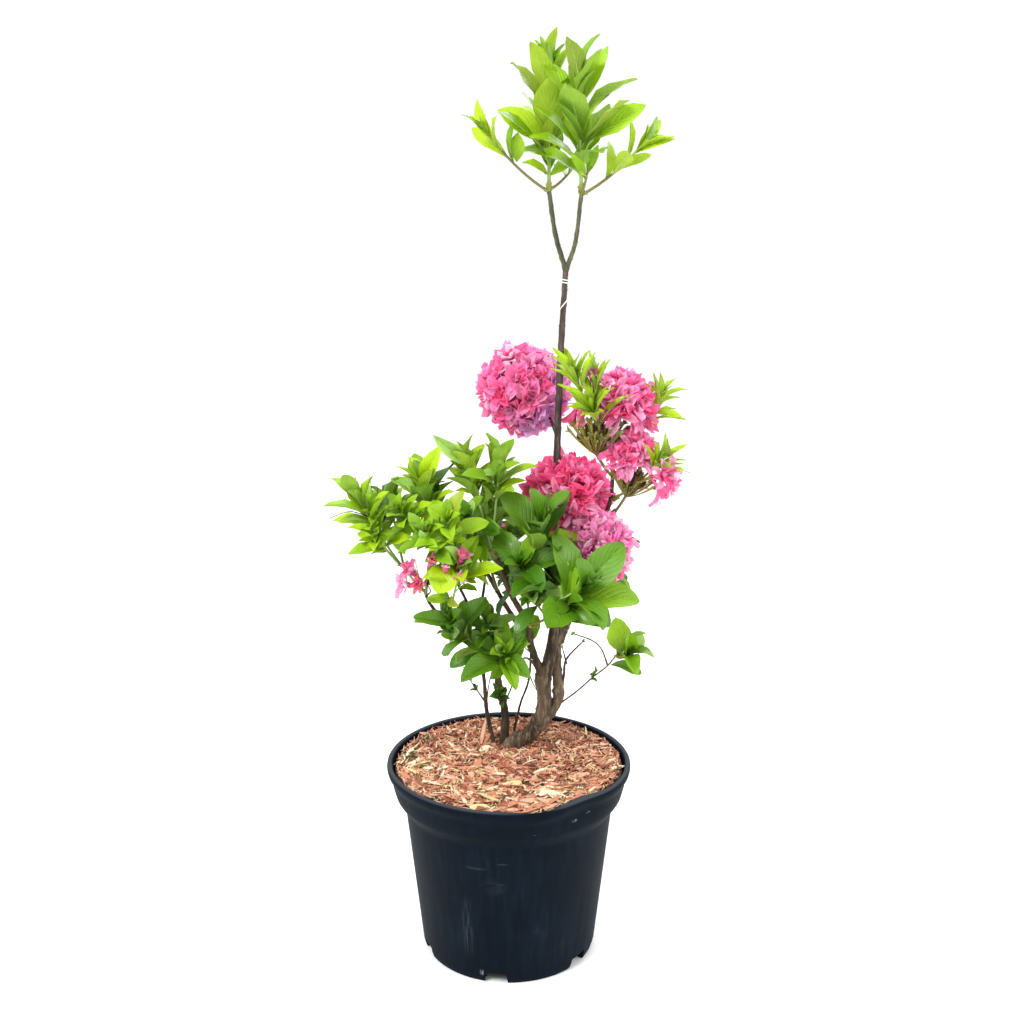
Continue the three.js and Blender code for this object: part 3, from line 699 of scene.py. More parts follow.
# %% Notches
def notch_cutters():
    """Blocks with rounded edges, one for each notch round the foot."""
    bm = bmesh.new()
    for k in range(NOTCH_COUNT):
        made = bmesh.ops.create_cube(bm, size=1)["verts"]
        size = (2 * NOTCH["depth"] * MM, NOTCH["width"] * MM, 2 * NOTCH["height"] * MM)
        bmesh.ops.scale(bm, vec=size, verts=made)
        for v in made:
            v.co.y *= NOTCH_TOP if v.co.z > 0 else NOTCH_FOOT
        bmesh.ops.translate(bm, vec=(NOTCH["radius"] * MM, 0, 0), verts=made)
        spin = Matrix.Rotation(NOTCH_TURN + 2 * math.pi * k / NOTCH_COUNT, 3, "Z")
        bmesh.ops.rotate(bm, verts=made, cent=(0, 0, 0), matrix=spin)
    bmesh.ops.bevel(
        bm, geom=list(bm.edges), offset=NOTCH["rounding"] * MM, offset_type="OFFSET",
        affect="EDGES", segments=2, profile=0.5, material=-1,
    )
    mesh = bpy.data.meshes.new("notch_cutters")
    bm.to_mesh(mesh)
    bm.free()
    return bpy.data.objects.new("notch_cutters", mesh)


pot = bmesh_piece("nursery_pot", spun(POT_SECTION, POT_STEPS), [POT_FINISH], ["pot"], 32)
cutters = notch_cutters()
bpy.context.scene.collection.objects.link(cutters)
cut = pot.modifiers.new("notches", "BOOLEAN")
cut.operation = "DIFFERENCE"
cut.solver = "EXACT"
cut.object = cutters
bpy.context.view_layer.update()
notched = bpy.data.meshes.new_from_object(pot.evaluated_get(bpy.context.evaluated_depsgraph_get()))
pot.modifiers.clear()
pot.data = notched
bend_mesh(notched)
bpy.data.objects.remove(cutters)
print("pot faces after the notches:", len(notched.polygons))

# %% [markdown]
# ## Mulch
# Under the chips lies a dark bed of fines, which is what shows between them. The chips are
# splinters of shredded wood. Three splinters are modelled, each a bar that is cut into lengths
# and roughened, and some thousands of bent copies lie on the bed: broad flakes below, and above
# them thin fibres that stick up at all angles.

# %% Bed of fines
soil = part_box("mulch")[0].z / MM
MULCH_RADII = (66, 104, 121.4)
MULCH_LEVELS = (211, 209.5, 207)
BED_DEPTH = 2.0
BED_WALL = 121.2
BED_SECTION = [(0, soil), (120.6, soil), (121, 199)] + [
    (min(r, BED_WALL), z - BED_DEPTH) for r, z in zip(MULCH_RADII[::-1], MULCH_LEVELS[::-1])
] + [(0, MULCH_LEVELS[0] - BED_DEPTH)]
BED_STEPS = 96
LUMP_SCALE = 0.042
LUMP_HEIGHT = 1.8
SURFACE_FROM = 204 * MM
SURFACE_EDGE = 120.5 * MM
TRUNK_FOOT = (-9, 43)
HOLLOW = {"radius": 15, "depth": 3.5}


def bed_height(x, y):
    """Height of the bed in metres: level in the middle, lower at the wall and round the trunk."""
    x, y = x / MM, y / MM
    level = float(np.interp(math.hypot(x, y), MULCH_RADII, MULCH_LEVELS)) - BED_DEPTH
    near = math.hypot(x - TRUNK_FOOT[0], y - TRUNK_FOOT[1]) / HOLLOW["radius"]
    lumps = noise.fractal(Vector((x, y, 0)) * LUMP_SCALE, 0.8, 2.0, 3)
    return (level + LUMP_HEIGHT * lumps - HOLLOW["depth"] * math.exp(-near * near)) * MM


bed = spun(BED_SECTION, BED_STEPS)
top = [e for e in bed.edges if all(v.co.z > SURFACE_FROM for v in e.verts)]
bmesh.ops.subdivide_edges(bed, edges=top, cuts=3, use_grid_fill=True)
for v in bed.verts:
    if v.co.z > SURFACE_FROM and math.hypot(v.co.x, v.co.y) < SURFACE_EDGE:
        v.co.z = bed_height(v.co.x, v.co.y)
bend_mesh(bmesh_piece("mulch_bed", bed, [FINES_FINISH], ["mulch"]).data)

COMPOST_SECTION = [
    (0, 3.4), (85.5, 3.4), (91, 8.4), (108.2, 164.8), (118, 178), (121, 194), (120.8, soil - 0.2),
    (0, soil - 0.2),
]
compost = spun(COMPOST_SECTION, BED_STEPS)
bend_mesh(bmesh_piece("compost_fill", compost, [COMPOST_FINISH], ["compost"]).data)

# %% Wood chips
END_THINNING = 0.55
SPLINTER_BOW = 0.35


def splinter(seed, lengths):
    """A bar one unit long, cut into lengths, roughened, and thinner at its ends."""
    rng = random.Random(seed)
    bm = bmesh.new()
    bmesh.ops.create_cube(bm, size=1)
    along = [e for e in bm.edges if abs(e.verts[0].co.x - e.verts[1].co.x) > 0.5]
    bmesh.ops.subdivide_edges(bm, edges=along, cuts=lengths - 1, use_grid_fill=True)
    for v in bm.verts:
        thin = 1 - END_THINNING * abs(2 * v.co.x) ** 3
        v.co.y *= thin * rng.uniform(0.75, 1.1)
        v.co.z *= thin * rng.uniform(0.7, 1.15)
        v.co.x *= rng.uniform(0.8, 1.08)
        v.co.z += SPLINTER_BOW * v.co.x**2
    return Shape(bm)


def turned(points, yaw, pitch, roll):
    about = Matrix.Rotation
    return points @ np.array(about(yaw, 3, "Z") @ about(pitch, 3, "Y") @ about(roll, 3, "X")).T


SPLINTERS = [splinter(seed, 3) for seed in (3, 5, 8)]
CHIP_WEIGHTS = {"orange": 31, "tan": 29, "rust": 18, "brown": 11, "cream": 8, "straw": 3}
CHIP_LAYERS = [  # how many, least and greatest length, width share, thickness, lift, tilt
    (900, 8, 18, 0.24, 1.2, (0.2, 1.8), 0.16),
    (1100, 8, 22, 0.14, 1.1, (1.0, 3.0), 0.26),
    (3200, 5, 16, 0.085, 0.9, (1.2, 3.8), 0.42),
    (1300, 3, 8, 0.2, 0.8, (1.6, 3.6), 0.55),
    (110, 14, 28, 0.13, 1.2, (3.0, 4.0), 0.18),
]
FRONT_CHIPS = (330, 12, 28, 0.22, 1.3, (2.6, 4.0), 0.2)
CHIP_EDGE = 120.5 * MM
LEAST_CHIP_WIDTH = 0.9 * MM
FRONT_LEFT_CHIP_WEIGHTS = {"cream": 2.5, "straw": 2.4}
BACK_CHIP_WEIGHTS = {"rust": 1.5, "brown": 1.6}


def pick(weights, rng):
    """One key of a table, the more often the greater its weight."""
    return rng.choices(list(weights), weights.values())[0]


def chip_tone(x, y, rng):
    """Paler chips lie at the front and the left, and darker rusty ones at the back."""
    weights = dict(CHIP_WEIGHTS)
    if x < -30 * MM and y < 30 * MM or y < -60 * MM:
        weights |= {tone: weights[tone] * more for tone, more in FRONT_LEFT_CHIP_WEIGHTS.items()}
    if y > 30 * MM:
        weights |= {tone: weights[tone] * more for tone, more in BACK_CHIP_WEIGHTS.items()}
    return pick(weights, rng)


chip_heaps = {tone: [] for tone in CHIP_TONES}
rng = random.Random(11)
for layer in [*CHIP_LAYERS, FRONT_CHIPS]:
    count, shortest, longest, slim, thickness, lift, tilt = layer
    for _ in range(count):
        length = rng.uniform(shortest, longest) * MM
        width = max(length * slim * rng.uniform(0.6, 1.5), LEAST_CHIP_WIDTH)
        thick = thickness * rng.uniform(0.7, 1.3) * MM
        reach = CHIP_EDGE * math.sqrt(rng.random()) - 0.25 * length * rng.random()
        around = rng.uniform(0, 2 * math.pi)
        if layer is FRONT_CHIPS:
            around = -math.pi / 2 + rng.gauss(0, 0.7)
        x, y = reach * math.cos(around), reach * math.sin(around)
        yaw = rng.uniform(0, math.pi)
        if reach > CHIP_EDGE - 0.5 * length:
            yaw = around + math.pi / 2 + rng.gauss(0, 0.3)
        chip = rng.choice(SPLINTERS).points * (length, width, thick)
        points = turned(chip, yaw, rng.gauss(0, tilt), rng.gauss(0, 0.5))
        z = bed_height(x, y) + rng.uniform(*lift) * MM
        chip_heaps[chip_tone(x, y, rng)].append((SPLINTERS[0], bend_rim(points + (x, y, z))))
LOOSE_CHIPS = [  # tone, place, size, turn and tilt in degrees
    ("tan", (-28, 44, 222), (30, 4.2, 1.6), 60, -68),
    ("orange", (-24, 43, 215), (22, 3.4, 1.4), 40, -50),
    ("cream", (-26, 22, 213), (15, 7.5, 1.8), 42, -8),
    ("straw", (2, 10, 212), (13, 8, 1.6), 20, 4),
    ("straw", (-30, -38, 212.5), (12, 8, 1.6), 150, -4),
]
for tone, place, size, turn, tilt in LOOSE_CHIPS:
    chip = SPLINTERS[1].points * np.array(size) * MM
    points = turned(chip, math.radians(turn), math.radians(tilt), 0)
    chip_heaps[tone].append((SPLINTERS[1], points + np.array(mm(place))))
for tone, heap in chip_heaps.items():
    heap_piece(f"wood_chips_{tone}", heap, [CHIP_FINISHES[tone]], crease=30)

# %% [markdown]
# ## Wood
# The limbs follow the same paths as the CAD model's, so the trunk has its lean, its root flare and
# its fork in the same places. The CAD limbs have only a few sides. Here each one has many rings,
# and every point is moved by noise that is stretched along the stem, which gives strips of bark,
# and by low rings where leaves once stood.

# %% Limbs
LIMBS = [  # name, bark, radius at base and tip, flare, places along the middle, in millimetres
    ("trunk", "grey", 9.6, 7.4, 4,
     [(-12, 44, 190), (6, 33, 214), (26, 25, 232), (38, 20, 262), (36, 20, 300)]),
    ("leader", "leader", 5.6, 2.6, 0,
     [(37, 20, 292), (45, 20, 325), (50, 20, 365), (54, 22, 430), (50, 21, 530), (53, 20, 650),
      (57, 20, 727)]),
    ("leader_fork_left", "fork", 2.4, 2.2, 0, [(57, 20, 725), (47, 25, 758), (40, 30, 801)]),
    ("leader_fork_right", "fork", 2.3, 2.0, 0, [(57, 20, 725), (66, 14, 753), (71, 10, 798)]),
    ("right_trunk", "grey", 6.2, 4.6, 0,
     [(32, 22, 238), (47, 23, 258), (54, 25, 275), (52, 27, 300), (51, 29, 326), (57, 32, 352)]),
    ("bough_right", "leader", 4.0, 2.3, 0,
     [(58, 32, 350), (65, 34, 378), (81, 30, 423), (98, 22, 462), (111, 17, 481)]),
    ("bough_right_upper", "leader", 2.3, 1.8, 0,
     [(96, 23, 458), (106, 30, 488), (108, 32, 520), (104, 30, 546)]),
    ("bough_left", "brown", 4.1, 2.4, 0,
     [(37, 20, 284), (32, 16, 308), (24, 10, 334), (19, 4, 362), (0, -6, 402), (-12, -10, 436)]),
    ("bough_ball", "leader", 2.0, 1.7, 0, [(51, 21, 546), (49, 38, 558), (43, 52, 571)]),
    ("bough_back_right", "grey", 3.4, 2.2, 0, [(55, 32, 332), (69, 56, 354), (87, 84, 385)]),
    ("bough_back_left", "grey", 3.4, 2.2, 0,
     [(36, 20, 296), (20, 50, 327), (-4, 80, 358), (-26, 96, 393)]),
    ("left_stem", "brown", 4.6, 3.4, 2,
     [(-7, 41, 198), (-4, 38, 245), (-11, 36, 281), (-13, 32, 314)]),
    ("bough_wing", "brown", 2.2, 1.4, 0,
     [(-13, 33, 310), (-33, 18, 336), (-60, 8, 357), (-80, 2, 381), (-88, 0, 400)]),
    ("dark_stem", "red", 2.3, 1.6, 1,
     [(-14, 46, 196), (-24, 48, 244), (-27, 48, 282), (-31, 40, 319), (-34, 26, 356)]),
    ("dark_stem_left", "red", 1.6, 1.3, 0,
     [(-34, 26, 355), (-43, 16, 379), (-53, 8, 403), (-65, 4, 424)]),
    ("dark_stem_right", "red", 1.6, 1.3, 0,
     [(-34, 26, 355), (-28, 30, 381), (-25, 30, 410), (-28, 20, 446)]),
    ("back_stem", "red", 1.3, 1.0, 1,
     [(1, 52, 196), (12, 56, 248), (22, 62, 277), (24, 70, 315), (21, 76, 362)]),
    ("right_twig", "twig", 0.95, 0.8, 0,
     [(54, 27, 262), (73, 17, 281), (89, 6, 301), (104, -4, 318), (114, -9, 334)]),
    ("right_twig_curl", "twig", 0.9, 0.65, 0,
     [(104, -4, 318), (97, -4, 336), (87, -2, 345), (67, 0, 352)]),
    ("bare_twig", "red", 1.9, 0.7, 0,
     [(54, 29, 268), (59, 26, 294), (62, 24, 315), (80, 16, 339)]),
    ("bare_twig_spur", "red", 0.9, 0.5, 0, [(62, 25, 309), (57, 25, 329)]),
]
THIN_TWIGS = [  # too thin for the CAD model: bark, radius at base and tip, places
    ("red", 0.8, 0.4, [(-27, 48, 258), (-35, 44, 272), (-42, 40, 285), (-50, 36, 303)]),
    ("red", 0.8, 0.5, [(-25, 48, 252), (-22, 46, 276), (-17, 42, 300)]),
    ("brown", 0.7, 0.5, [(-3, 38, 262), (4, 35, 284), (-1, 33, 296), (-9, 32, 304)]),
    ("red", 0.7, 0.4, [(22, 64, 284), (27, 62, 272), (33, 58, 262)]),
    ("red", 0.8, 0.4, [(24, 70, 306), (18, 62, 314), (12, 54, 324)]),
    ("brown", 0.8, 0.5, [(-84, 1, 394), (-80, -18, 404), (-82, -34, 416)]),
    ("brown", 0.7, 0.4, [(-62, 6, 360), (-68, -12, 378), (-66, -26, 398)]),
    ("grey", 1.2, 0.8, [(26, 10, 316), (18, 8, 322), (8, 4, 318)]),
    ("grey", 4.4, 3.6, [(38, 18, 290), (40, 16, 305)]),
    ("grey", 6.4, 5.6, [(37, 20, 292), (45, 20, 325), (50, 20, 365)]),
    ("leader", 1.0, 0.6, [(54, 20, 452), (62, 14, 466), (66, 12, 478)]),
    ("twig", 0.5, 0.3, [(-134, -4, 474), (-138, -2, 500), (-142, 0, 524)]),
    ("red", 0.5, 0.3, [(-133, -2, 482), (-133, 0, 498), (-134, 0, 512)]),
    ("red", 0.5, 0.3, [(-129, -2, 480), (-130, 0, 496), (-127, 0, 510)]),
    ("red", 0.5, 0.4, [(-144, -6, 480), (-162, -8, 485), (-181, -16, 480)]),
]
KNOTS = {  # where a shoot was cut or fell off: share along the limb, height, length in mm
    "trunk": [(0.3, 0.16, 5), (0.62, 0.13, 4), (0.96, 0.22, 6)],
    "right_trunk": [(0.42, 0.34, 5), (0.72, 0.2, 4)],
    "leader": [(0.1, 0.2, 5), (0.34, 0.2, 3), (0.57, 0.3, 3), (0.8, 0.18, 3)],
    "bough_left": [(0.24, 0.24, 4), (0.5, 0.2, 3)],
    "left_stem": [(0.5, 0.24, 3), (0.8, 0.2, 3)],
}
print("limbs:", len(LIMBS), "thin twigs:", len(THIN_TWIGS))

# %% Bark
FLARE_FADE = 12
RING_LENGTH = 1.6 * MM
LENGTH_STEPS = 40
LIMB_SIDES = ((6, 28), (3, 18), (0, 12))  # thicker than this in millimetres, number of sides
COLLAR_LENGTH = 7 * MM
COLLAR_SWELL = 0.35
THIN_TWIG_LENGTH = 45 * MM
THIN_TWIG_SWELL = 0.4
STRIP_STRETCH = 0.16
STRIP_SCALE = 620
STRIP_HEIGHT = 0.8 * MM
GREATEST_STRIP = 0.2
LUMP_SHARE = 0.1
SCAR_SPACING = 17 * MM
SCAR_WIDTH = 1.1 * MM
SCAR_SHARE = 0.13


def limb_radius(base, tip, flare, length, collar):
    """Radius along a limb, with a flare at its root and a swelling where it leaves another."""

    def at(t):
        swell = collar * math.exp(-t * length / COLLAR_LENGTH)
        return (base + (tip - base) * t + flare * math.exp(-t * FLARE_FADE)) * (1 + swell) * MM

    return at


def bark_relief(radius, length, knots, rng):
    """Strips, lumps, knots and old leaf scars, as a share of the radius."""
    strip_height = min(STRIP_HEIGHT / radius, GREATEST_STRIP)
    scars = np.arange(rng.uniform(4, 10) * MM, length, SCAR_SPACING)
    scars = [s + rng.uniform(-5, 5) * MM for s in scars]

    def at(place, t):
        place = Vector(place)
        stretched = Vector((place.x, place.y, place.z * STRIP_STRETCH)) * STRIP_SCALE
        strips = noise.fractal(stretched, 0.7, 2.1, 3)
        lumps = noise.noise(place * 75) + 0.5 * noise.noise(place * 190)
        nearest = min((abs(t * length - s) for s in scars), default=1.0)
        scar = math.exp(-((nearest / SCAR_WIDTH) ** 2))
        knot = sum(h * math.exp(-(((t - k) * length / (s * MM)) ** 2)) for k, h, s in knots)
        return strip_height * strips + LUMP_SHARE * lumps + SCAR_SHARE * scar + knot * (1 + lumps)

    return at


# %% Grow the limbs
bark_heaps = {tone: [] for tone in BARK_FINISHES}
rng = random.Random(23)
for name, tone, base, tip, flare, path in LIMBS:
    curve = curve_through(path)
    places = [curve(i / LENGTH_STEPS) for i in range(LENGTH_STEPS + 1)]
    length = sum((b - a).length for a, b in zip(places, places[1:]))
    rings = max(int(length / RING_LENGTH), 6)
    sides = next(number for least, number in LIMB_SIDES if base > least)
    radius_at = limb_radius(base, tip, flare, length, 0.0 if flare else COLLAR_SWELL)
    relief = bark_relief(base * MM, length, KNOTS.get(name, ()), rng)
    add_tube(bark_heaps[tone], curve, radius_at, sides, rings, relief)
for tone, base, tip, path in THIN_TWIGS:
    relief = bark_relief(base * MM, THIN_TWIG_LENGTH, (), rng)
    radius_at = limb_radius(base, tip, 0, THIN_TWIG_LENGTH, THIN_TWIG_SWELL)
    add_tube(bark_heaps[tone], curve_through(path), radius_at, 8, 24, relief)
for tone, heap in bark_heaps.items():
    replaced = [row[0] for row in LIMBS if row[1] == tone]
    heap_piece(f"bark_{tone}", heap, [BARK_FINISHES[tone]], replaced, crease=80)

# %% [markdown]
# ## Leaves
# Azalea leaves stand in rosettes at the tips of the shoots, turned from one to the next by the
# golden angle, the lowest ones longest and widest spread. The CAD model grows them by a seeded
# rule, and the same rule grows them here, so that each leaf keeps its place. A leaf is modelled
# once as a grid with two skins that meet at the edge. It is then given its outline, its fold along
# the midrib, its arch and a wavy margin, each a little different from its neighbour's.


# %% Blade
@lru_cache(maxsize=None)
def unit_blade(lengths, widths):
    """Two skins of a blade: x runs from edge to edge, y from root to tip, z is the side."""
    bm = bmesh.new()
    bmesh.ops.create_grid(bm, x_segments=widths, y_segments=lengths, size=1)
    for v in bm.verts:
        on_edge = max(abs(v.co.x), abs(v.co.y)) > 0.999
        v.co.y = 0.5 - 0.5 * math.cos(math.pi * (v.co.y + 1) / 2)
        v.co.z = 0.0 if on_edge else 1.0
    lower = bmesh.ops.duplicate(bm, geom=[*bm.verts, *bm.edges, *bm.faces])["geom"]
    for v in [g for g in lower if isinstance(g, bmesh.types.BMVert)]:
        v.co.z = -v.co.z
    bmesh.ops.remove_doubles(bm, verts=bm.verts, dist=1e-4)
    return Shape(bm)


blade = unit_blade(8, 4)
print("faces of a leaf:", len(blade.sizes), "on its underside:", int(blade.under.sum()))

# %% The rule of growth
TWIG_RADIUS = 1.5
TWIG_TAPER = 0.7
LIGHT_PULL = 0.18
LEAF_SINK = 2.5 * TWIG_RADIUS
TIP_CLOSING = 0.62
TIP_SHORTENING = 0.3
ANGLE_JITTER = (0.8, 0.4)  # least share and its range
LENGTH_JITTER = (0.85, 0.3)
TURN_JITTER = 0.8


def seeded(seed):
    """Random numbers from 0 to 1, the same ones that the CAD model draws."""
    state = seed

    def draw():
        nonlocal state
        state = (state * 1664525 + 1013904223) % 4294967296
        return state / 4294967296

    for _ in range(3):
        draw()
    return draw


def varied(jitter, draw):
    least, spread = jitter
    return least + spread * draw()


def shoot_leaves(curve, count, length, spread, zone, seed):
    """Root, direction, upper side and length of each leaf of a shoot."""
    draw = seeded(seed)
    first_turn = 2 * math.pi * draw()
    leaves = []
    for i in range(count):
        rise = i / (count - 1)
        t = 1 - zone * (1 - rise)
        axis = tangent(curve, t)
        opening = math.radians(spread) * (1 - TIP_CLOSING * rise**1.5)
        angle = opening * varied(ANGLE_JITTER, draw)
        turn = first_turn + i * GOLDEN_ANGLE + (draw() - 0.5) * TURN_JITTER
        reach = length * (1 - TIP_SHORTENING * rise**2) * varied(LENGTH_JITTER, draw) * MM
        direction = leaning(axis, angle, turn)
        direction.z += LIGHT_PULL
        direction.normalize()
        upper = (axis - direction * axis.dot(direction)).normalized()
        leaves.append((curve(t) - axis * LEAF_SINK * MM, direction, upper, reach))
    return leaves


# %% One leaf, bent and wavy
LEAF_THICKNESS = 0.7 * MM
LEAF_ENDS = (0.1, 0.03)  # width at root and tip, as shares of the greatest
LEAF_BENDS = {  # least and greatest share of the length
    "arch": (0.03, 0.12),
    "fold": (0.06, 0.18),
    "droop": (-0.05, 0.34),
    "wave": (0.008, 0.03),
}
WAVES_ALONG = 2.4
DROOPS_FROM = 0.45
ROLL = 0.4
RIB_SHARE = 0.015
THICKEST_RIB = 1.0 * MM


def outline(u, widest, root_width, tip_width, fullness):
    """Half width along a blade, from 0 to 1, greatest at `widest`."""
    stretch = math.log(0.5) / math.log(widest)
    body = np.sin(np.pi * np.clip(u, 0, 1) ** stretch) ** fullness
    return np.maximum(body, np.interp(u, (0, 1), (root_width, tip_width)))


def leaf_points(leaf, width, widest, fullness, rng, bend=1.0):
    """Points of one leaf, and its midrib as places and their shares of the length."""
    root, direction, upper, length = leaf
    side = direction.cross(upper)
    v, u, skin = blade.points.T
    greatest = 0.5 * width * length
    half = greatest * outline(u, widest, *LEAF_ENDS, fullness)
    arch, fold, droop, wave = [rng.uniform(*limits) for limits in LEAF_BENDS.values()]
    phase = rng.uniform(0, 2 * math.pi)
    raised = length * (arch * 4 * u * (1 - u) + fold * bend * np.abs(v) * half / greatest)
    raised += length * (wave * np.sin(2 * np.pi * WAVES_ALONG * u + phase + v) * v * v)
    raised -= length * droop * bend * np.clip(u - DROOPS_FROM, 0, 1) ** 2
    raised += skin * LEAF_THICKNESS / 2
    turn = rng.gauss(0, ROLL) * bend * (u - 0.3)
    across = v * half
    x = across * np.cos(turn) - raised * np.sin(turn)
    z = across * np.sin(turn) + raised * np.cos(turn)
    line = np.array(root) + np.outer(u * length, direction)
    points = line + np.outer(x, side) + np.outer(z, upper)
    on_rib = np.abs(v) < 1e-6
    middle = line + np.outer(raised - skin * LEAF_THICKNESS / 2, upper)
    return points, middle[on_rib], u[on_rib]


def add_midrib(heap, middles, shares, length):
    """A thin rib along the middle of a leaf, standing out of both skins."""
    curve = smooth_curve([Vector(p) for p in middles[np.argsort(shares)][::2]])
    radius = min(THICKEST_RIB, RIB_SHARE * length)
    add_tube(heap, curve, lambda t: radius * (1 - 0.8 * t), 4, 5)


# %% [markdown]
# Every mass is a table of shoots: where each starts along the first one, its tip, the number of
# leaves, their length, how far they spread, the share of the shoot that bears them, its seed and
# its own tone. Young masses deal out lime and spring greens, and mature ones deeper greens. A
# kind's tables give the weight of each tone, and its table for the shade those of the leaves that
# point away to the back and lie in the shade: their darker tones are painted shade.

# %% Kinds of leaves
YOUNG = {"width": 0.42, "widest": 0.54, "fullness": 0.74, "twig": "young_twig",
         "side_twigs": 1.0, "between": 0.8, "bend": 0.85,
         "tones": {"lime": 34, "spring": 32, "fresh": 22, "pale": 6, "olive": 6},
         "in_shade": {"fresh": 40, "spring": 24, "mid": 28, "deep": 8}}
SPEAR = {"width": 0.18, "widest": 0.52, "fullness": 0.9, "twig": "twig",
         "side_twigs": 0.0, "between": 1.3, "bend": 0.6,
         "tones": {"lime": 56, "spring": 24, "olive": 14, "pale": 6}}
CROWN_SIDE = {"width": 0.3, "widest": 0.56, "fullness": 0.74, "twig": "twig",
              "side_twigs": 0.0, "between": 0.0, "bend": 0.4,
              "tones": {"lime": 46, "spring": 34, "pale": 12, "fresh": 8}}
CROWN = {"width": 0.4, "widest": 0.54, "fullness": 0.8, "twig": "young_twig", "main_twig": 1.9,
         "side_twigs": 0.0, "between": 0.7, "side": CROWN_SIDE, "bend": 0.45,
         "tones": {"lime": 40, "spring": 36, "pale": 4, "olive": 4, "fresh": 16},
         "in_shade": {"spring": 50, "fresh": 50}}
MATURE = {"width": 0.46, "widest": 0.56, "fullness": 0.57, "twig": "twig",
          "side_twigs": 0.6, "between": 0.5,
          "tones": {"fresh": 24, "mid": 38, "deep": 22, "pale": 8, "spring": 5, "dark": 3},
          "in_shade": {"mid": 26, "deep": 42, "dark": 32}}
BROAD = {"width": 0.5, "widest": 0.58, "fullness": 0.57, "twig": "twig",
         "side_twigs": 0.0, "between": 0.0, "tones": {"pale": 40, "fresh": 34, "mid": 26}}
SHADED = {"width": 0.48, "widest": 0.58, "fullness": 0.66, "twig": "twig",
          "side_twigs": 0.8, "between": 0.5,
          "tones": {"fresh": 22, "mid": 38, "deep": 28, "dark": 12}}
TUFT = {"width": 0.42, "widest": 0.58, "fullness": 0.8, "twig": "twig",
        "tones": {"mid": 30, "deep": 50, "dark": 20}}

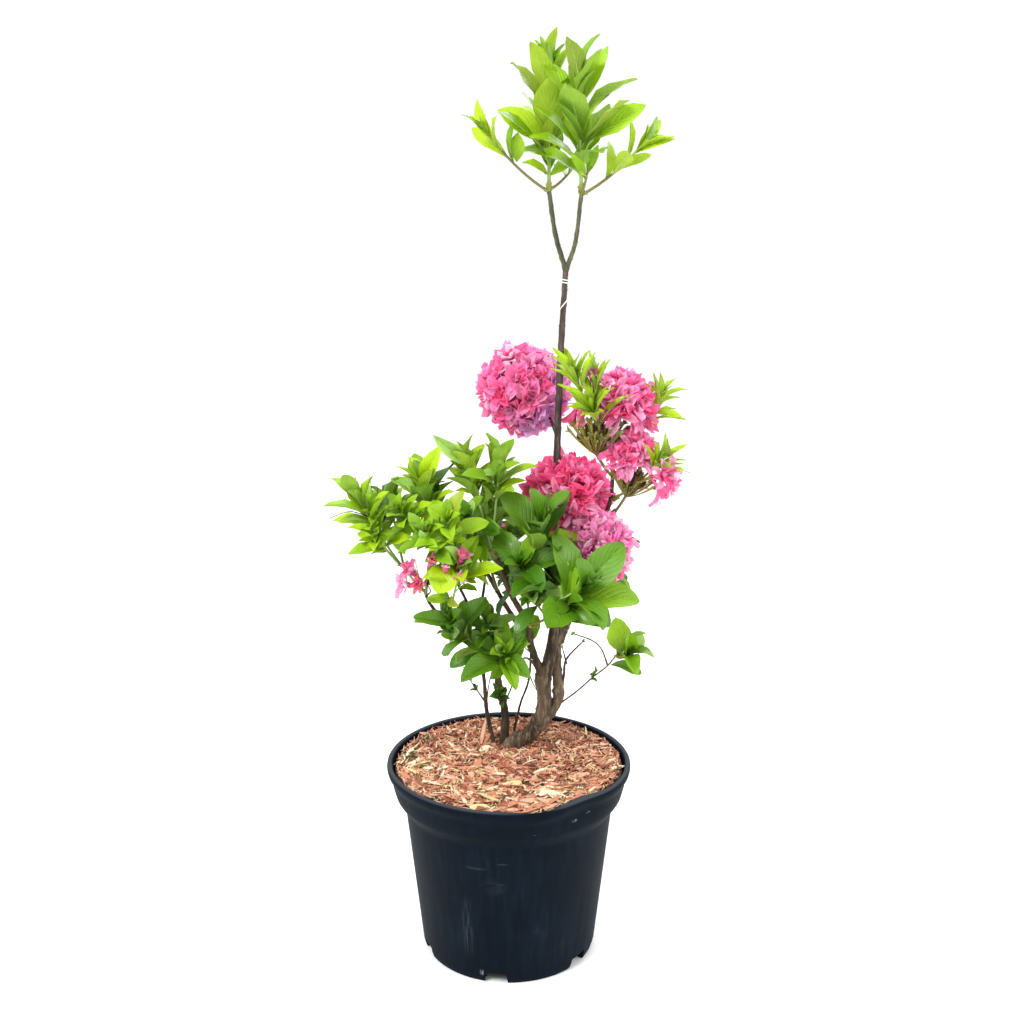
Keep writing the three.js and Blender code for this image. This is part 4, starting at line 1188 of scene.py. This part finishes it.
# %% Masses of foliage
FOLIAGE = [  # name, kind, root, shoots
    ("crown_left_leaves", CROWN, (40, 30, 799), [
        (0, (40, 28, 911), 13, 70, 54, 0.72, 8883, "lime"),
        (0.02, (-21, 10, 856), 5, 50, 56, 0.4, 1554, "lime"),
        (0.04, (67, 62, 827), 4, 32, 54, 0.3, 8, "spring")]),
    ("crown_right_leaves", CROWN, (71, 10, 796), [
        (0, (68, -1, 901), 13, 74, 72, 0.72, 8942, "spring"),
        (0.02, (130, -1, 846), 7, 49, 56, 0.55, 283, "lime"),
        (0.04, (75, -34, 822), 4, 30, 54, 0.3, 288, "fresh")]),
    ("wing_tip_leaves", YOUNG, (-88, 0, 398), [
        (0, (-152, -6, 497), 9, 50, 74, 0.3, 3682, "spring"),
        (0.35, (-135, -21, 466), 7, 38, 82, 0.35, 6891, "lime"),
        (0.3, (-124, 38, 487), 7, 50, 90, 0.35, 6449, "fresh")]),
    ("wing_top_leaves", YOUNG, (-64, 4, 422), [
        (0, (-88, 9, 510), 10, 54, 62, 0.3, 5714, "lime"),
        (0.3, (-109, -10, 483), 7, 44, 95, 0.3, 5520, "spring"),
        (0.25, (-75, 52, 474), 7, 44, 90, 0.3, 536, "fresh")]),
    ("wing_front_leaves", YOUNG, (-53, 8, 403), [
        (0, (-60, -53, 487), 7, 46, 92, 0.25, 745, "spring"),
        (0.35, (-83, -44, 470), 6, 44, 78, 0.3, 1276, "fresh")]),
    ("wing_pale_leaves", YOUNG, (-66, 6, 362), [
        (0, (-48, -45, 440), 6, 50, 80, 0.2, 3239, "spring")]),
    ("wing_upright_leaves", YOUNG, (-12, -10, 434), [
        (0, (-40, 16, 529), 7, 56, 60, 0.35, 5164, "spring"),
        (0.2, (-9, 3, 535), 8, 48, 78, 0.35, 983, "spring"),
        (0.1, (-9, 44, 480), 6, 42, 85, 0.3, 1234, "fresh")]),
    ("wing_inner_leaves", MATURE, (-28, 20, 444), [
        (0, (-41, -6, 476), 8, 44, 88, 0.4, 167, "fresh"),
        (0.1, (-37, 50, 455), 6, 42, 90, 0.35, 748, "mid")]),
    ("lower_left_leaves", MATURE, (-12, 34, 306), [
        (0, (-6, 5, 327), 7, 54, 98, 0.25, 1151, "fresh"),
        (0.3, (-58, -16, 372), 6, 50, 78, 0.35, 696, "mid"),
        (0.25, (-23, 15, 366), 6, 42, 95, 0.3, 3925, "fresh"),
        (0.2, (-29, 52, 327), 5, 46, 85, 0.35, 604, "mid")]),
    ("centre_upper_leaves", MATURE, (2, -7, 398), [
        (0, (36, -23, 477), 7, 62, 70, 0.3, 3491, "mid"),
        (0.4, (14, -24, 434), 6, 46, 85, 0.3, 632, "deep")]),
    ("centre_front_leaves", MATURE, (20, 5, 358), [
        (0, (72, -47, 413), 6, 78, 82, 0.22, 186, "mid"),
        (0.55, (50, -20, 416), 5, 66, 90, 0.25, 3968, "deep"),
        (0.4, (24, -30, 402), 6, 46, 98, 0.3, 478, "pale")]),
    ("right_twig_leaves", BROAD, (112, -8, 330), [
        (0, (125, -16, 336), 5, 40, 68, 0.7, 4635, "fresh")]),
    ("shoots_over_leader", SPEAR, (104, 30, 544), [
        (0, (84, 0, 591), 8, 52, 64, 0.3, 5846, "lime"),
        (0.6, (67, 4, 621), 7, 48, 48, 0.25, 1758, "lime"),
        (0.7, (87, 8, 614), 5, 46, 40, 0.25, 1749, "spring")]),
    ("shoots_right_upper", SPEAR, (107, 31, 510), [
        (0, (155, 38, 594), 8, 46, 66, 0.2, 6565, "lime")]),
    ("shoots_right_lower", SPEAR, (106, 30, 488), [
        (0, (155, 3, 537), 8, 44, 60, 0.2, 1701, "lime")]),
    ("back_left_leaves", SHADED, (-26, 96, 391), [
        (0, (-44, 126, 432), 8, 54, 78, 0.35, 212, "mid"),
        (0.2, (-70, 96, 420), 7, 50, 86, 0.35, 355, "deep"),
        (0.2, (0, 124, 418), 7, 50, 96, 0.35, 562, "fresh")]),
    ("back_centre_leaves", SHADED, (21, 76, 360), [
        (0, (30, 106, 396), 7, 54, 100, 0.4, 400, "deep"),
        (0.3, (-4, 84, 388), 6, 42, 100, 0.4, 1436, "mid")]),
    ("back_right_leaves", SHADED, (86, 83, 383), [
        (0, (100, 108, 418), 8, 54, 96, 0.35, 298, "mid"),
        (0.2, (112, 76, 404), 6, 42, 94, 0.35, 539, "fresh"),
        (0.2, (72, 118, 414), 6, 50, 96, 0.35, 466, "deep")]),
]
print("masses:", len(FOLIAGE), "shoots:", sum(len(row[3]) for row in FOLIAGE))

# %% Dealing out the leaves
OWN_TONE_SHARE = 0.45
BACK_OF_PLANT = 62 * MM
LIGHT_TURN = 0.75
IN_SHADE_FROM = 0.35
WIDTH_JITTER = (0.88, 1.1)
SCALE_SHAPE = (0.5, 0.5, 0.7)
SIDE_TWIG_SPACING = 26 * MM
SIDE_TWIG_RADIUS = 0.7
SIDE_TWIG_LEAN = (0.5, 0.95)
SIDE_TWIG_LENGTH = (12, 22)
BETWEEN = {"length": 0.76, "spread": 0.8, "zone": 0.9}
TIP_TUFT = {"leaves": 6, "length": 0.5, "spread": 0.3, "zone": 0.06, "folded": 0.55}
FOOT_SCALES = (12, 11)  # how many, length in millimetres
SIDE_SCALES = (7, 6)
leaf_heaps = {tone: [] for tone in LEAF_TONES}
growth_heaps = {part: [] for part in GROWTH}


def turned_to_light(leaf):
    """A leaf seen edge-on from where the light comes turns its upper side that way."""
    root, direction, upper, length = leaf
    light = Vector((-0.2, 0.85 if root.y > BACK_OF_PLANT else -0.85, 0.5))
    light = (light - direction * direction.dot(light)).normalized()
    upper = (upper + light * LIGHT_TURN * (1 - abs(upper.dot(light)))).normalized()
    return root, direction, upper, length


def add_leaf(leaf, kind, own_tone, rng, with_rib=True, folded=1.0):
    """Deals a leaf the tone of its shoot, or at random another of the mass's tones."""
    leaf = turned_to_light(leaf)
    tones = kind["tones"]
    # Leaves that point away to the back take darker tones: painted shade.
    if leaf[1].y > IN_SHADE_FROM:
        tones = kind.get("in_shade", tones)
    tone = own_tone if rng.random() < OWN_TONE_SHARE else pick(tones, rng)
    width = kind["width"] * rng.uniform(*WIDTH_JITTER) * folded
    shape = (width, kind["widest"], kind["fullness"])
    points, middles, shares = leaf_points(leaf, *shape, rng, kind.get("bend", 1.0))
    leaf_heaps[tone].append((blade, points))
    if with_rib:
        add_midrib(growth_heaps["midrib"], middles, shares, leaf[3])


def add_twig(curve, kind, radius=TWIG_RADIUS, rings=8):
    """The green stem of a shoot."""
    add_tube(
        growth_heaps[kind["twig"]], curve,
        lambda t: radius * (1 - (1 - TWIG_TAPER) * t) * MM, 8, rings,
    )


def add_scales(curve, rng, count=5, size=7, part="scale", lean=(0.15, 0.4)):
    """Papery scales of the winter bud that still clasp the foot of a shoot."""
    axis = tangent(curve, 0)
    for k in range(count):
        out = leaning(axis, math.pi / 2, k * GOLDEN_ANGLE)
        direction = leaning(axis, rng.uniform(*lean), k * GOLDEN_ANGLE)
        upper = (axis - direction * axis.dot(direction)).normalized()
        root = curve(0.02) + (out * TWIG_RADIUS * 0.8 - axis * rng.uniform(0, 3)) * MM
        scale = (root, direction, upper, size * rng.uniform(0.75, 1.2) * MM)
        growth_heaps[part].append((blade, leaf_points(scale, *SCALE_SHAPE, rng)[0]))


def grow_shoot(curve, shoot, kind, rng):
    """A shoot's leaves by the rule, then the finer growth between them."""
    _, _, count, length, spread, zone, seed, own_tone = shoot
    for leaf in shoot_leaves(curve, count, length, spread, zone, seed):
        add_leaf(leaf, kind, own_tone, rng)
    between = round(kind["between"] * count)
    if between > 1:
        shape = (BETWEEN["length"] * length, BETWEEN["spread"] * spread, BETWEEN["zone"] * zone)
        for leaf in shoot_leaves(curve, between, *shape, seed + 3):
            add_leaf(leaf, kind, own_tone, rng)
    shape = (TIP_TUFT["length"] * length, TIP_TUFT["spread"] * spread, TIP_TUFT["zone"])
    for leaf in shoot_leaves(curve, TIP_TUFT["leaves"], *shape, seed + 1):
        add_leaf(leaf, kind, own_tone, rng, with_rib=False, folded=TIP_TUFT["folded"])
    side_count = round(kind["side_twigs"] * (curve(1) - curve(0)).length / SIDE_TWIG_SPACING)
    for k in range(side_count):
        t = 0.46 + 0.42 * (k + rng.random()) / side_count
        lean = rng.uniform(*SIDE_TWIG_LEAN)
        out = leaning(tangent(curve, t), lean, rng.uniform(0, 2 * math.pi))
        side_twig = twig_curve(curve(t), curve(t) + out * rng.uniform(*SIDE_TWIG_LENGTH) * MM)
        add_twig(side_twig, kind, SIDE_TWIG_RADIUS, 4)
        for leaf in shoot_leaves(side_twig, 4, 0.5 * length, spread, 0.5, seed + 7 * k):
            add_leaf(leaf, kind, own_tone, rng)


def stem_of(main, kind, start, tip):
    """A shoot's curve, kind, radius and foot scales. The first shoot is the mass's main one."""
    if start == 0:
        return main, kind, kind.get("main_twig", TWIG_RADIUS), FOOT_SCALES
    return twig_curve(main(start), mm(tip)), kind.get("side", kind), TWIG_RADIUS, SIDE_SCALES


# %% Grow the masses
rng = random.Random(37)
for name, kind, root, shoots in FOLIAGE:
    main = twig_curve(mm(root), mm(shoots[0][1]))
    for shoot in shoots:
        curve, own_kind, radius, scales = stem_of(main, kind, *shoot[:2])
        add_twig(curve, own_kind, radius)
        add_scales(curve, rng, *scales, lean=(0.06, 0.26))
        grow_shoot(curve, shoot, own_kind, rng)
print("leaves grown:", sum(map(len, leaf_heaps.values())))

# %% [markdown]
# A few shoots are too small for the CAD model: tufts low on the left stem and along the thin
# twigs, and the closed buds at the ends of the bare twigs. Some single leaves are set one by one
# where the rule leaves a gap.

# %% Small shoots
SMALL_SHOOTS = [  # kind, root, tip, leaves, length, spread, zone, seed
    (TUFT, (-9, 36, 262), (-12, 28, 280), 12, 14, 74, 0.8, 5),
    (TUFT, (-42, 40, 285), (-46, 38, 292), 6, 11, 70, 0.8, 17),
    (TUFT, (-35, 44, 272), (-37, 42, 276), 4, 10, 70, 0.8, 19),
    (MATURE, (88, 6, 300), (92, 2, 311), 6, 10, 54, 0.9, 29),
    (SHADED, (-17, 42, 298), (-15, 38, 306), 5, 20, 80, 0.6, 23),
    (SHADED, (12, 54, 322), (6, 48, 328), 4, 20, 80, 0.6, 31),
]
for kind, root, tip, count, length, spread, zone, seed in SMALL_SHOOTS:
    curve = twig_curve(mm(root), mm(tip))
    own_tone = pick(kind["tones"], rng)
    add_twig(curve, kind, SIDE_TWIG_RADIUS, 4)
    for leaf in shoot_leaves(curve, count, length, spread, zone, seed):
        add_leaf(leaf, kind, own_tone, rng)

# %% Single leaves and buds
SINGLE_LEAVES = [  # kind, tone, root, tip, upper side faces, width
    (BROAD, "spring", (114, -10, 336), (111, -14, 374), (-0.1, -1, 0.2), 0.62),
    (BROAD, "pale", (119, -8, 340), (143, -12, 357), (-0.2, -0.5, 1), 0.34),
    (BROAD, "pale", (121, -8, 336), (153, -12, 331), (0, -0.5, 1), 0.34),
    (MATURE, "mid", (107, -6, 319), (139, -12, 312), (0.1, -0.6, 1), 0.44),
    (MATURE, "lime", (-62, -44, 441), (-70, -62, 415), (0.1, -1, 0.6), 0.9),
    (CROWN, "lime", (38, 26, 849), (-10, 8, 877), (0.1, -1, 0.5), 0.46),
    (CROWN, "spring", (75, -2, 848), (128, -18, 880), (-0.1, -1, 0.5), 0.42),
    (CROWN, "spring", (69, 0, 880), (93, -10, 933), (-0.4, -1, 0.3), 0.3),
    (CROWN, "lime", (39, 29, 817), (14, 14, 829), (0.1, -1, 0.7), 0.42),
    (CROWN, "spring", (41, 28, 816), (65, 16, 832), (-0.1, -1, 0.7), 0.44),
    (CROWN, "spring", (8, 19, 829), (9, 10, 856), (0.1, -1, 0.2), 0.62),
    (CROWN, "lime", (121, 0, 836), (158, -8, 850), (0, -1, 0.9), 0.34),
    (YOUNG, "fresh", (-106, -10, 480), (-106, -26, 445), (-0.2, -1, 0.1), 0.6),
    (YOUNG, "pale", (-39, 15, 527), (-76, 0, 563), (-0.3, -1, 0.6), 0.3),
    (YOUNG, "lime", (-87, 8, 508), (-69, -6, 552), (-0.3, -1, 0.3), 0.42),
    (YOUNG, "lime", (149, 36, 579), (180, 28, 574), (0, -0.7, 1), 0.34),
    (MATURE, "mid", (-55, -14, 364), (-98, -20, 377), (0, -0.7, 1), 0.4),
    (MATURE, "deep", (-31, 41, 322), (-64, 32, 303), (-0.2, -1, 0.4), 0.5),
    (MATURE, "mid", (50, 17, 362), (98, -6, 361), (0, -0.8, 1), 0.32),
]
for kind, tone, root, tip, faces, width in SINGLE_LEAVES:
    along = mm(tip) - mm(root)
    direction = along.normalized()
    upper = Vector(faces) - direction * direction.dot(Vector(faces))
    leaf = (mm(root), direction, upper.normalized(), along.length)
    add_leaf(leaf, kind | {"width": width, "tones": {tone: 1}}, tone, rng)

BUDDED = {  # limb: where its buds sit, as shares of its length
    "right_twig_curl": [0.99],
    "bare_twig": [0.6, 0.99],
    "bare_twig_spur": [0.99],
    "dark_stem": [0.4],
    "back_stem": [0.5],
}
for name, *_, path in LIMBS:
    curve = curve_through(path)
    for t in BUDDED.get(name, []):
        bud_axis = leaning(tangent(curve, t), 0.15 if t > 0.9 else 0.6, t * 11)
        bud = twig_curve(curve(t), curve(t) + bud_axis * 4 * MM)
        add_scales(bud, rng, 4, 3.6, "pedicel")

replaced = [row[0] for row in FOLIAGE]
for tone, heap in leaf_heaps.items():
    heap_piece(f"leaves_{tone}", heap, LEAF_FINISHES[tone], replaced)
    replaced = []

# %% [markdown]
# ## Flowers
# Each truss is a ball or cap of florets. A floret is double: a funnel on a green-brown stalk, six
# outer petals that curl back, a ring inside that stands up, crumpled petals in the throat, and a
# few short stamens. The margins are ruffled, because they grow faster than the middle. The
# florets stand round the truss's heart by the golden angle, as in the CAD model, only closer.
# They come in three forms: close and broad-petalled in the ball, narrow and frilled in the big
# trusses at the middle and the back, and open like a star in the others.

# %% Petals
TRUSS_TONES = {
    "ball": {"rose": 28, "orchid": 34, "bright": 20, "blush": 8, "deep": 10},
    "pink": {"deep": 28, "rose": 32, "bright": 20, "orchid": 16, "blush": 4},
    "hot": {"deep": 54, "rose": 30, "bright": 16},
    "light": {"orchid": 22, "bright": 40, "rose": 10, "blush": 28},
    "outer": {"bright": 26, "rose": 40, "blush": 16, "deep": 18},
    "deep": {"deep": 100},
    "rosy": {"rose": 60, "coral": 25, "bright": 15},
    "coral": {"coral": 55, "rose": 25, "blush": 20},
}
PETAL_RINGS = [  # petals, length share, angle from the axis at root and tip, width, turn
    (6, 0.7, 0.5, 1.7, 0.42, 0.0),
    (7, 0.58, 0.24, 1.25, 0.38, 0.62),
    (6, 0.42, 0.05, 0.75, 0.36, 0.25),
]
PETAL_THICKNESS = 0.44 * MM
PETAL_STEPS = 25
PETAL_OUTLINE = (0.62, 0.32, 0.2, 0.64)
LEAN_JITTER = 0.26
SWAY = 0.16
CUP = (0.04, 0.26)
RUFFLES = (1.6, 2.6)
RUFFLE_HEIGHT = (0.03, 0.075)
petal = unit_blade(7, 4)
petal_heaps = {tone: [] for tone in PETAL_TONES}


def petal_points(base, axis, out, length, lean, width, rng):
    """A petal whose middle line leans further and further away from the floret's axis."""
    side = axis.cross(out)
    v, u, skin = petal.points.T
    start, end = lean
    end += rng.gauss(0, LEAN_JITTER)
    steps = np.linspace(0, 1, PETAL_STEPS)
    angles = start + (end - start) * steps**1.15

    def along(rates):
        """Adds up a rate along the petal and gives its sum at each point."""
        sums = np.cumsum(rates[:-1] + rates[1:]) / (2 * (PETAL_STEPS - 1))
        return np.interp(u, steps, [0, *sums]) * length

    height = along(np.cos(angles))
    distance = along(np.sin(angles))
    angle = np.interp(u, steps, angles)
    half = 0.5 * width * length * outline(u, *PETAL_OUTLINE)
    waves = rng.uniform(*RUFFLES)
    ruffle = np.sin(2 * np.pi * waves * u + rng.uniform(0, 6.3) + 1.3 * v)
    cup = rng.uniform(*CUP)
    lift = length * (cup * v * v + rng.uniform(*RUFFLE_HEIGHT) * ruffle * np.abs(v) ** 1.5 * u)
    lift += skin * PETAL_THICKNESS / 2
    height += lift * np.sin(angle)
    distance -= lift * np.cos(angle)
    sway = rng.gauss(0, SWAY) * length * u * u
    place = np.array(base) + np.outer(height, axis) + np.outer(distance, out)
    return place + np.outer(v * half * (1 - 0.06 * ruffle * u) + sway, side)


FILAMENT_RADIUS = 0.3
ANTHER_RADIUS = 0.45
ANTHER_LENGTH = 1.3 * MM


def add_stalk(part, start, end, radius_at, sides, rings):
    """A tube between two places; `radius_at` gives its radius in millimetres."""
    curve = twig_curve(start, end)
    add_tube(growth_heaps[part], curve, lambda t: radius_at(t) * MM, sides, rings)


def add_stamens(base, axis, length, count, rng, part="filament"):
    """Threads that curve out of the throat, each with a small dark anther at its end."""
    for k in range(count):
        out = leaning(axis, rng.uniform(0.1, 0.5), k * GOLDEN_ANGLE + rng.random())
        tip = base + out * length * rng.uniform(0.8, 1.1)
        add_stalk(part, base, tip, lambda t: FILAMENT_RADIUS, 3, 4)
        if part == "filament":
            add_stalk("anther", tip, tip + out * ANTHER_LENGTH, lambda t: ANTHER_RADIUS, 5, 2)


# %% Florets
RING_TONE_SHARE = 0.7
STAMEN_SHARE = 0.36
STALK_PARTS = {"pedicel": 5, "bract": 3, "twig": 3}


def add_floret(stalks_from, foot, throat, reach, tones, rng, stamens, opening=1.0, broad=1.0):
    """A stalk, a funnel and the petals round its throat.

    `opening` is 0 for a closed bud, and `broad` widens the petals.
    """
    axis = (throat - foot).normalized()
    add_stalk("pedicel", stalks_from, foot, lambda t: 0.75 + 0.9 * t**6, 6, 5)
    add_stalk("tube", foot, throat, lambda t: 1.3 + 2.2 * t**2, 8, 5)
    first = rng.uniform(0, 2 * math.pi)
    own_tones = rng.choices(list(tones), tones.values(), k=len(PETAL_RINGS))
    for ring, (count, share, lean_root, lean_tip, width, turn) in enumerate(PETAL_RINGS):
        for k in range(count):
            around = first + turn + 2 * math.pi * (k + rng.uniform(-0.12, 0.12)) / count
            out = leaning(axis, math.pi / 2, around)
            length = share * reach * rng.uniform(0.86, 1.12)
            lean = (lean_root * opening, lean_tip * opening)
            base = throat + out * 1.4 * MM - axis * 0.1 * length
            points = petal_points(base, axis, out, length, lean, width * broad, rng)
            tone = own_tones[ring] if rng.random() < RING_TONE_SHARE else pick(tones, rng)
            petal_heaps[tone].append((petal, points))
    add_stamens(throat, axis, STAMEN_SHARE * reach, stamens, rng)


def add_stalk_fan(foot, aim, spread, length, count, rng):
    """Bare stalks of shed flowers with their green-brown calyces, fanned from one bud."""
    aim = Vector(aim).normalized()
    for k in range(count):
        out = leaning(aim, spread * math.sqrt((k + 0.5) / count), k * GOLDEN_ANGLE)
        out = (out + Vector((0, 0, 0.12 * rng.random()))).normalized()
        tip = foot + out * length * rng.uniform(0.42, 1.08)
        part = pick(STALK_PARTS, rng)
        add_stalk(part, foot, tip, lambda t: 0.6 + 1.2 * t**3 * (1 - 0.5 * t**12), 7, 8)
        add_scales(twig_curve(tip - out * 3 * MM, tip + out * 6 * MM), rng, 4, 7, part)


# %% Trusses
# A truss's row: name, root, heart, reach, where it faces, its cap in degrees, number of florets,
# tones, and how far from the heart the stalks join, as a share of the reach.
TRUSSES = [
    ("truss_ball", (43, 52, 570), (16, 74, 599), 47, (-0.1, -0.4, 0.5), 165, 38, "ball", 0.3),
    ("truss_right_upper", (105, 30, 540), (114, 36, 583), 42, (0.2, -0.25, 1), 84, 17, "pink",
     0.95),
    ("truss_right_middle", (119, 30, 500), (124, 22, 535), 32, (0, -0.7, 0.7), 62, 8, "pink", 0.9),
    ("truss_right_outer", (124, 26, 508), (143, 4, 520), 34, (1, -0.5, -0.2), 40, 3, "outer", 0.8),
    ("truss_centre", (94, 24, 450), (59, 30, 494), 45, (-0.2, -0.7, 0.5), 135, 29, "hot", 0.3),
    ("truss_low", (84, 29, 428), (90, 6, 443), 40, (0.3, -0.9, 0.3), 125, 27, "light", 0.3),
    ("truss_left", (-86, 1, 394), (-82, -34, 424), 32, (0, -1, 0.3), 110, 0, "coral", 0.6),
    ("truss_back", (76, 66, 366), (74, 104, 476), 42, (0, 0.6, 0.8), 125, 22, "pink", 0.3),
    ("truss_back_left", (-10, 85, 366), (-32, 95, 442), 30, (-0.5, 1, 0.3), 78, 9, "light", 0.3),
]
POMPON = {"throat": 0.7, "petals": 0.68, "broad": 1.3}
FRILLED = {"throat": 0.56, "petals": 0.86, "broad": 0.68}
STAR = {"throat": 0.46, "petals": 1.0, "broad": 0.84}
FORMS = {"truss_ball": POMPON, "truss_centre": FRILLED, "truss_low": FRILLED,
         "truss_back": FRILLED}
NO_BRACTS = ("truss_right_outer",)
# Florets on the lower right of the ball, turned away from the key lamp, take lilac tones: painted
# shade.
BALL_SHADED_SIDE = Vector((0.6, -0.3, -0.75)).normalized()
BALL_SHADED_FROM = 0.55
BALL_SHADE_TONES = {"lilac": 60, "orchid": 24, "bright": 16}
FOOT_SHARE = 0.1
rng = random.Random(53)
for name, root, heart, reach, faces, cap, florets, tone_set, drop in TRUSSES:
    root, heart, reach = mm(root), mm(heart), reach * MM
    form = FORMS.get(name, STAR)
    facing = Vector(faces).normalized()
    edge = math.cos(math.radians(cap))
    away = (root - heart).normalized()
    stalks_from = heart + away * min((root - heart).length, drop * reach)
    add_stalk("twig", root, stalks_from, lambda t: TWIG_RADIUS, 8, 5)
    if name not in NO_BRACTS:
        add_scales(twig_curve(stalks_from, heart), rng, 7, 9, "bract")
    for k in range(florets):
        height_share = 1 - (1 - edge) * ((k + 0.5) / florets)
        axis = leaning(facing, math.acos(height_share), k * GOLDEN_ANGLE)
        foot = heart + axis * FOOT_SHARE * reach
        throat = heart + axis * form["throat"] * rng.uniform(0.9, 1.06) * reach
        tones = TRUSS_TONES[tone_set]
        if tone_set == "ball" and axis.dot(BALL_SHADED_SIDE) > BALL_SHADED_FROM:
            tones = BALL_SHADE_TONES
        size = reach * form["petals"]
        add_floret(stalks_from, foot, throat, size, tones, rng, 1 + k % 4, broad=form["broad"])
print("florets in the trusses:", sum(row[6] for row in TRUSSES))

# %% [markdown]
# Two buds on the right have shed some of their flowers, so fans of stalks are left there. The
# young truss on the left is only opening: it has a few open florets and some pink buds.

# %% Stalk fans and single flowers
STALK_FANS = [  # foot, aim, spread, length, count
    ((91, 30, 536), (0.1, -0.3, 1), 0.7, 45, 60),
    ((91, 30, 536), (-0.8, -0.1, 1), 0.26, 43, 12),
    ((122, 28, 492), (0.05, -0.25, 1), 0.62, 34, 44),
    ((122, 28, 492), (1, -0.5, 0.8), 0.28, 36, 9),
]
BARE_STEMS = [  # where they start and end
    ((106, 30, 470), (122, 28, 493)),
    ((107, 31, 514), (91, 30, 537)),
]
for foot, aim, spread, length, count in STALK_FANS:
    add_stalk_fan(mm(foot), aim, spread, length * MM, count, rng)
for start, end in [map(mm, row) for row in BARE_STEMS]:
    add_stalk("twig", start, end, lambda t: TWIG_RADIUS, 8, 6)
    add_scales(twig_curve(end, end + (end - start) * 0.6), rng, 6, 8, "bract")
print("bare stalks:", sum(row[-1] for row in STALK_FANS))

LEFT_HUB = (-84, -30, 413)
SINGLE_FLOWERS = [  # stalk's root, foot, throat, reach, tones, stamens, opening
    (LEFT_HUB, (-90, -33, 414), (-101, -40, 417), 24, "light", 3, 1.0),
    (LEFT_HUB, (-88, -34, 421), (-96, -40, 430), 22, "pink", 4, 0.8),
    (LEFT_HUB, (-84, -36, 418), (-88, -44, 420), 17, "rosy", 3, 0.7),
    (LEFT_HUB, (-80, -46, 438), (-77, -54, 445), 15, "coral", 2, 0.4),
    ((-62, -40, 424), (-63, -54, 434), (-62, -60, 441), 14, "light", 2, 0.4),
    ((-62, -36, 424), (-51, -50, 438), (-47, -53, 447), 18, "rosy", 3, 0.55),
    ((-60, -38, 422), (-58, -54, 428), (-51, -60, 431), 16, "light", 1, 0.5),
    ((80, 30, 592), (73, 32, 592), (69, 32, 583), 25, "deep", 1, 0.42),
    ((80, 30, 590), (74, 28, 588), (74, 26, 580), 20, "coral", 1, 0.3),
    ((134, 28, 584), (139, 22, 578), (144, 18, 574), 14, "rosy", 1, 0.35),
    ((90, 22, 600), (87, 14, 611), (84, 8, 620), 17, "pink", 1, 0.7),
    ((96, 22, 597), (97, 14, 604), (98, 8, 611), 16, "light", 1, 0.8),
]
for *places, reach, tone_set, stamens, opening in SINGLE_FLOWERS:
    root, foot, throat = map(mm, places)
    add_floret(root, foot, throat, reach * MM, TRUSS_TONES[tone_set], rng, stamens, opening)
add_stamens(mm((-90, -34, 424)), Vector((-0.4, -0.3, 1)).normalized(), 24 * MM, 14, rng, "spent")

replaced = [row[0] for row in TRUSSES]
for tone, heap in petal_heaps.items():
    heap_piece(f"petals_{tone}", heap, [PETAL_FINISHES[tone]], replaced, crease=80)
    replaced = []

# %% Twigs, ribs, scales and stalks
for part, heap in growth_heaps.items():
    heap_piece(f"{part}s", heap, [GROWTH_FINISHES[part]])

# %% [markdown]
# ## String and moss
# A bit of white cotton string is tied round the top of the leader, two turns and a knot, with one
# end trailing down. It is a helix and two short tubes. The moss is a low patch of tiny tufts on
# the chips, near the left wall.

# %% String
TIE_MIDDLE = (56.2, 20, 712)
TIE_RADIUS = 3.7
TIE_RISE = 6
TIE_TURNS = 2.2
TIE_START = 2.6
STRING_RADIUS = 0.55 * MM
FRAYED_RADIUS = 0.3 * MM
STRING_END = [(57, 24, 714), (60.5, 21, 704), (59, 16.6, 697), (53, 16.2, 689)]
FRAYED_END = [(53, 16.2, 689), (50, 16.6, 684), (46, 17.5, 676), (42.6, 18, 668)]


def tie_turns(t):
    around = 2 * math.pi * TIE_TURNS * t + TIE_START
    x, y, z = TIE_MIDDLE
    z += TIE_RISE * t - math.cos(around)
    return mm((x + TIE_RADIUS * math.cos(around), y + TIE_RADIUS * math.sin(around), z))


string = []
add_tube(string, tie_turns, lambda t: STRING_RADIUS, 6, 60)
add_tube(string, curve_through(STRING_END), lambda t: STRING_RADIUS, 6, 20)
add_tube(string, curve_through(FRAYED_END), lambda t: FRAYED_RADIUS, 5, 20)
heap_piece("string_tie", string, [STRING_FINISH])

# %% Moss
MOSS_PATCHES = [((-106, 8), 9, 700), ((-92, 57), 6, 160)]  # middle, radius, tufts
MOSS_STRETCH = 1.3
MOSS_LIFT = 2.6 * MM
TUFT_RADIUS = 0.5 * MM
moss = []
rng = random.Random(71)
tuft = unit_tube(4, 1)
for (middle_x, middle_y), radius, tufts in MOSS_PATCHES:
    for _ in range(tufts):
        around = rng.uniform(0, 2 * math.pi)
        far = radius * MM * math.sqrt(rng.random())
        x = middle_x * MM + far * math.cos(around)
        y = middle_y * MM + MOSS_STRETCH * far * math.sin(around)
        size = (TUFT_RADIUS, TUFT_RADIUS, rng.uniform(2, 4) * MM)
        points = turned(tuft.points * size, rng.uniform(0, 6.3), rng.gauss(0, 0.5), 0)
        moss.append((tuft, points + (x, y, bed_height(x, y) + MOSS_LIFT)))
heap_piece("moss_patch", moss, [MOSS_FINISH])
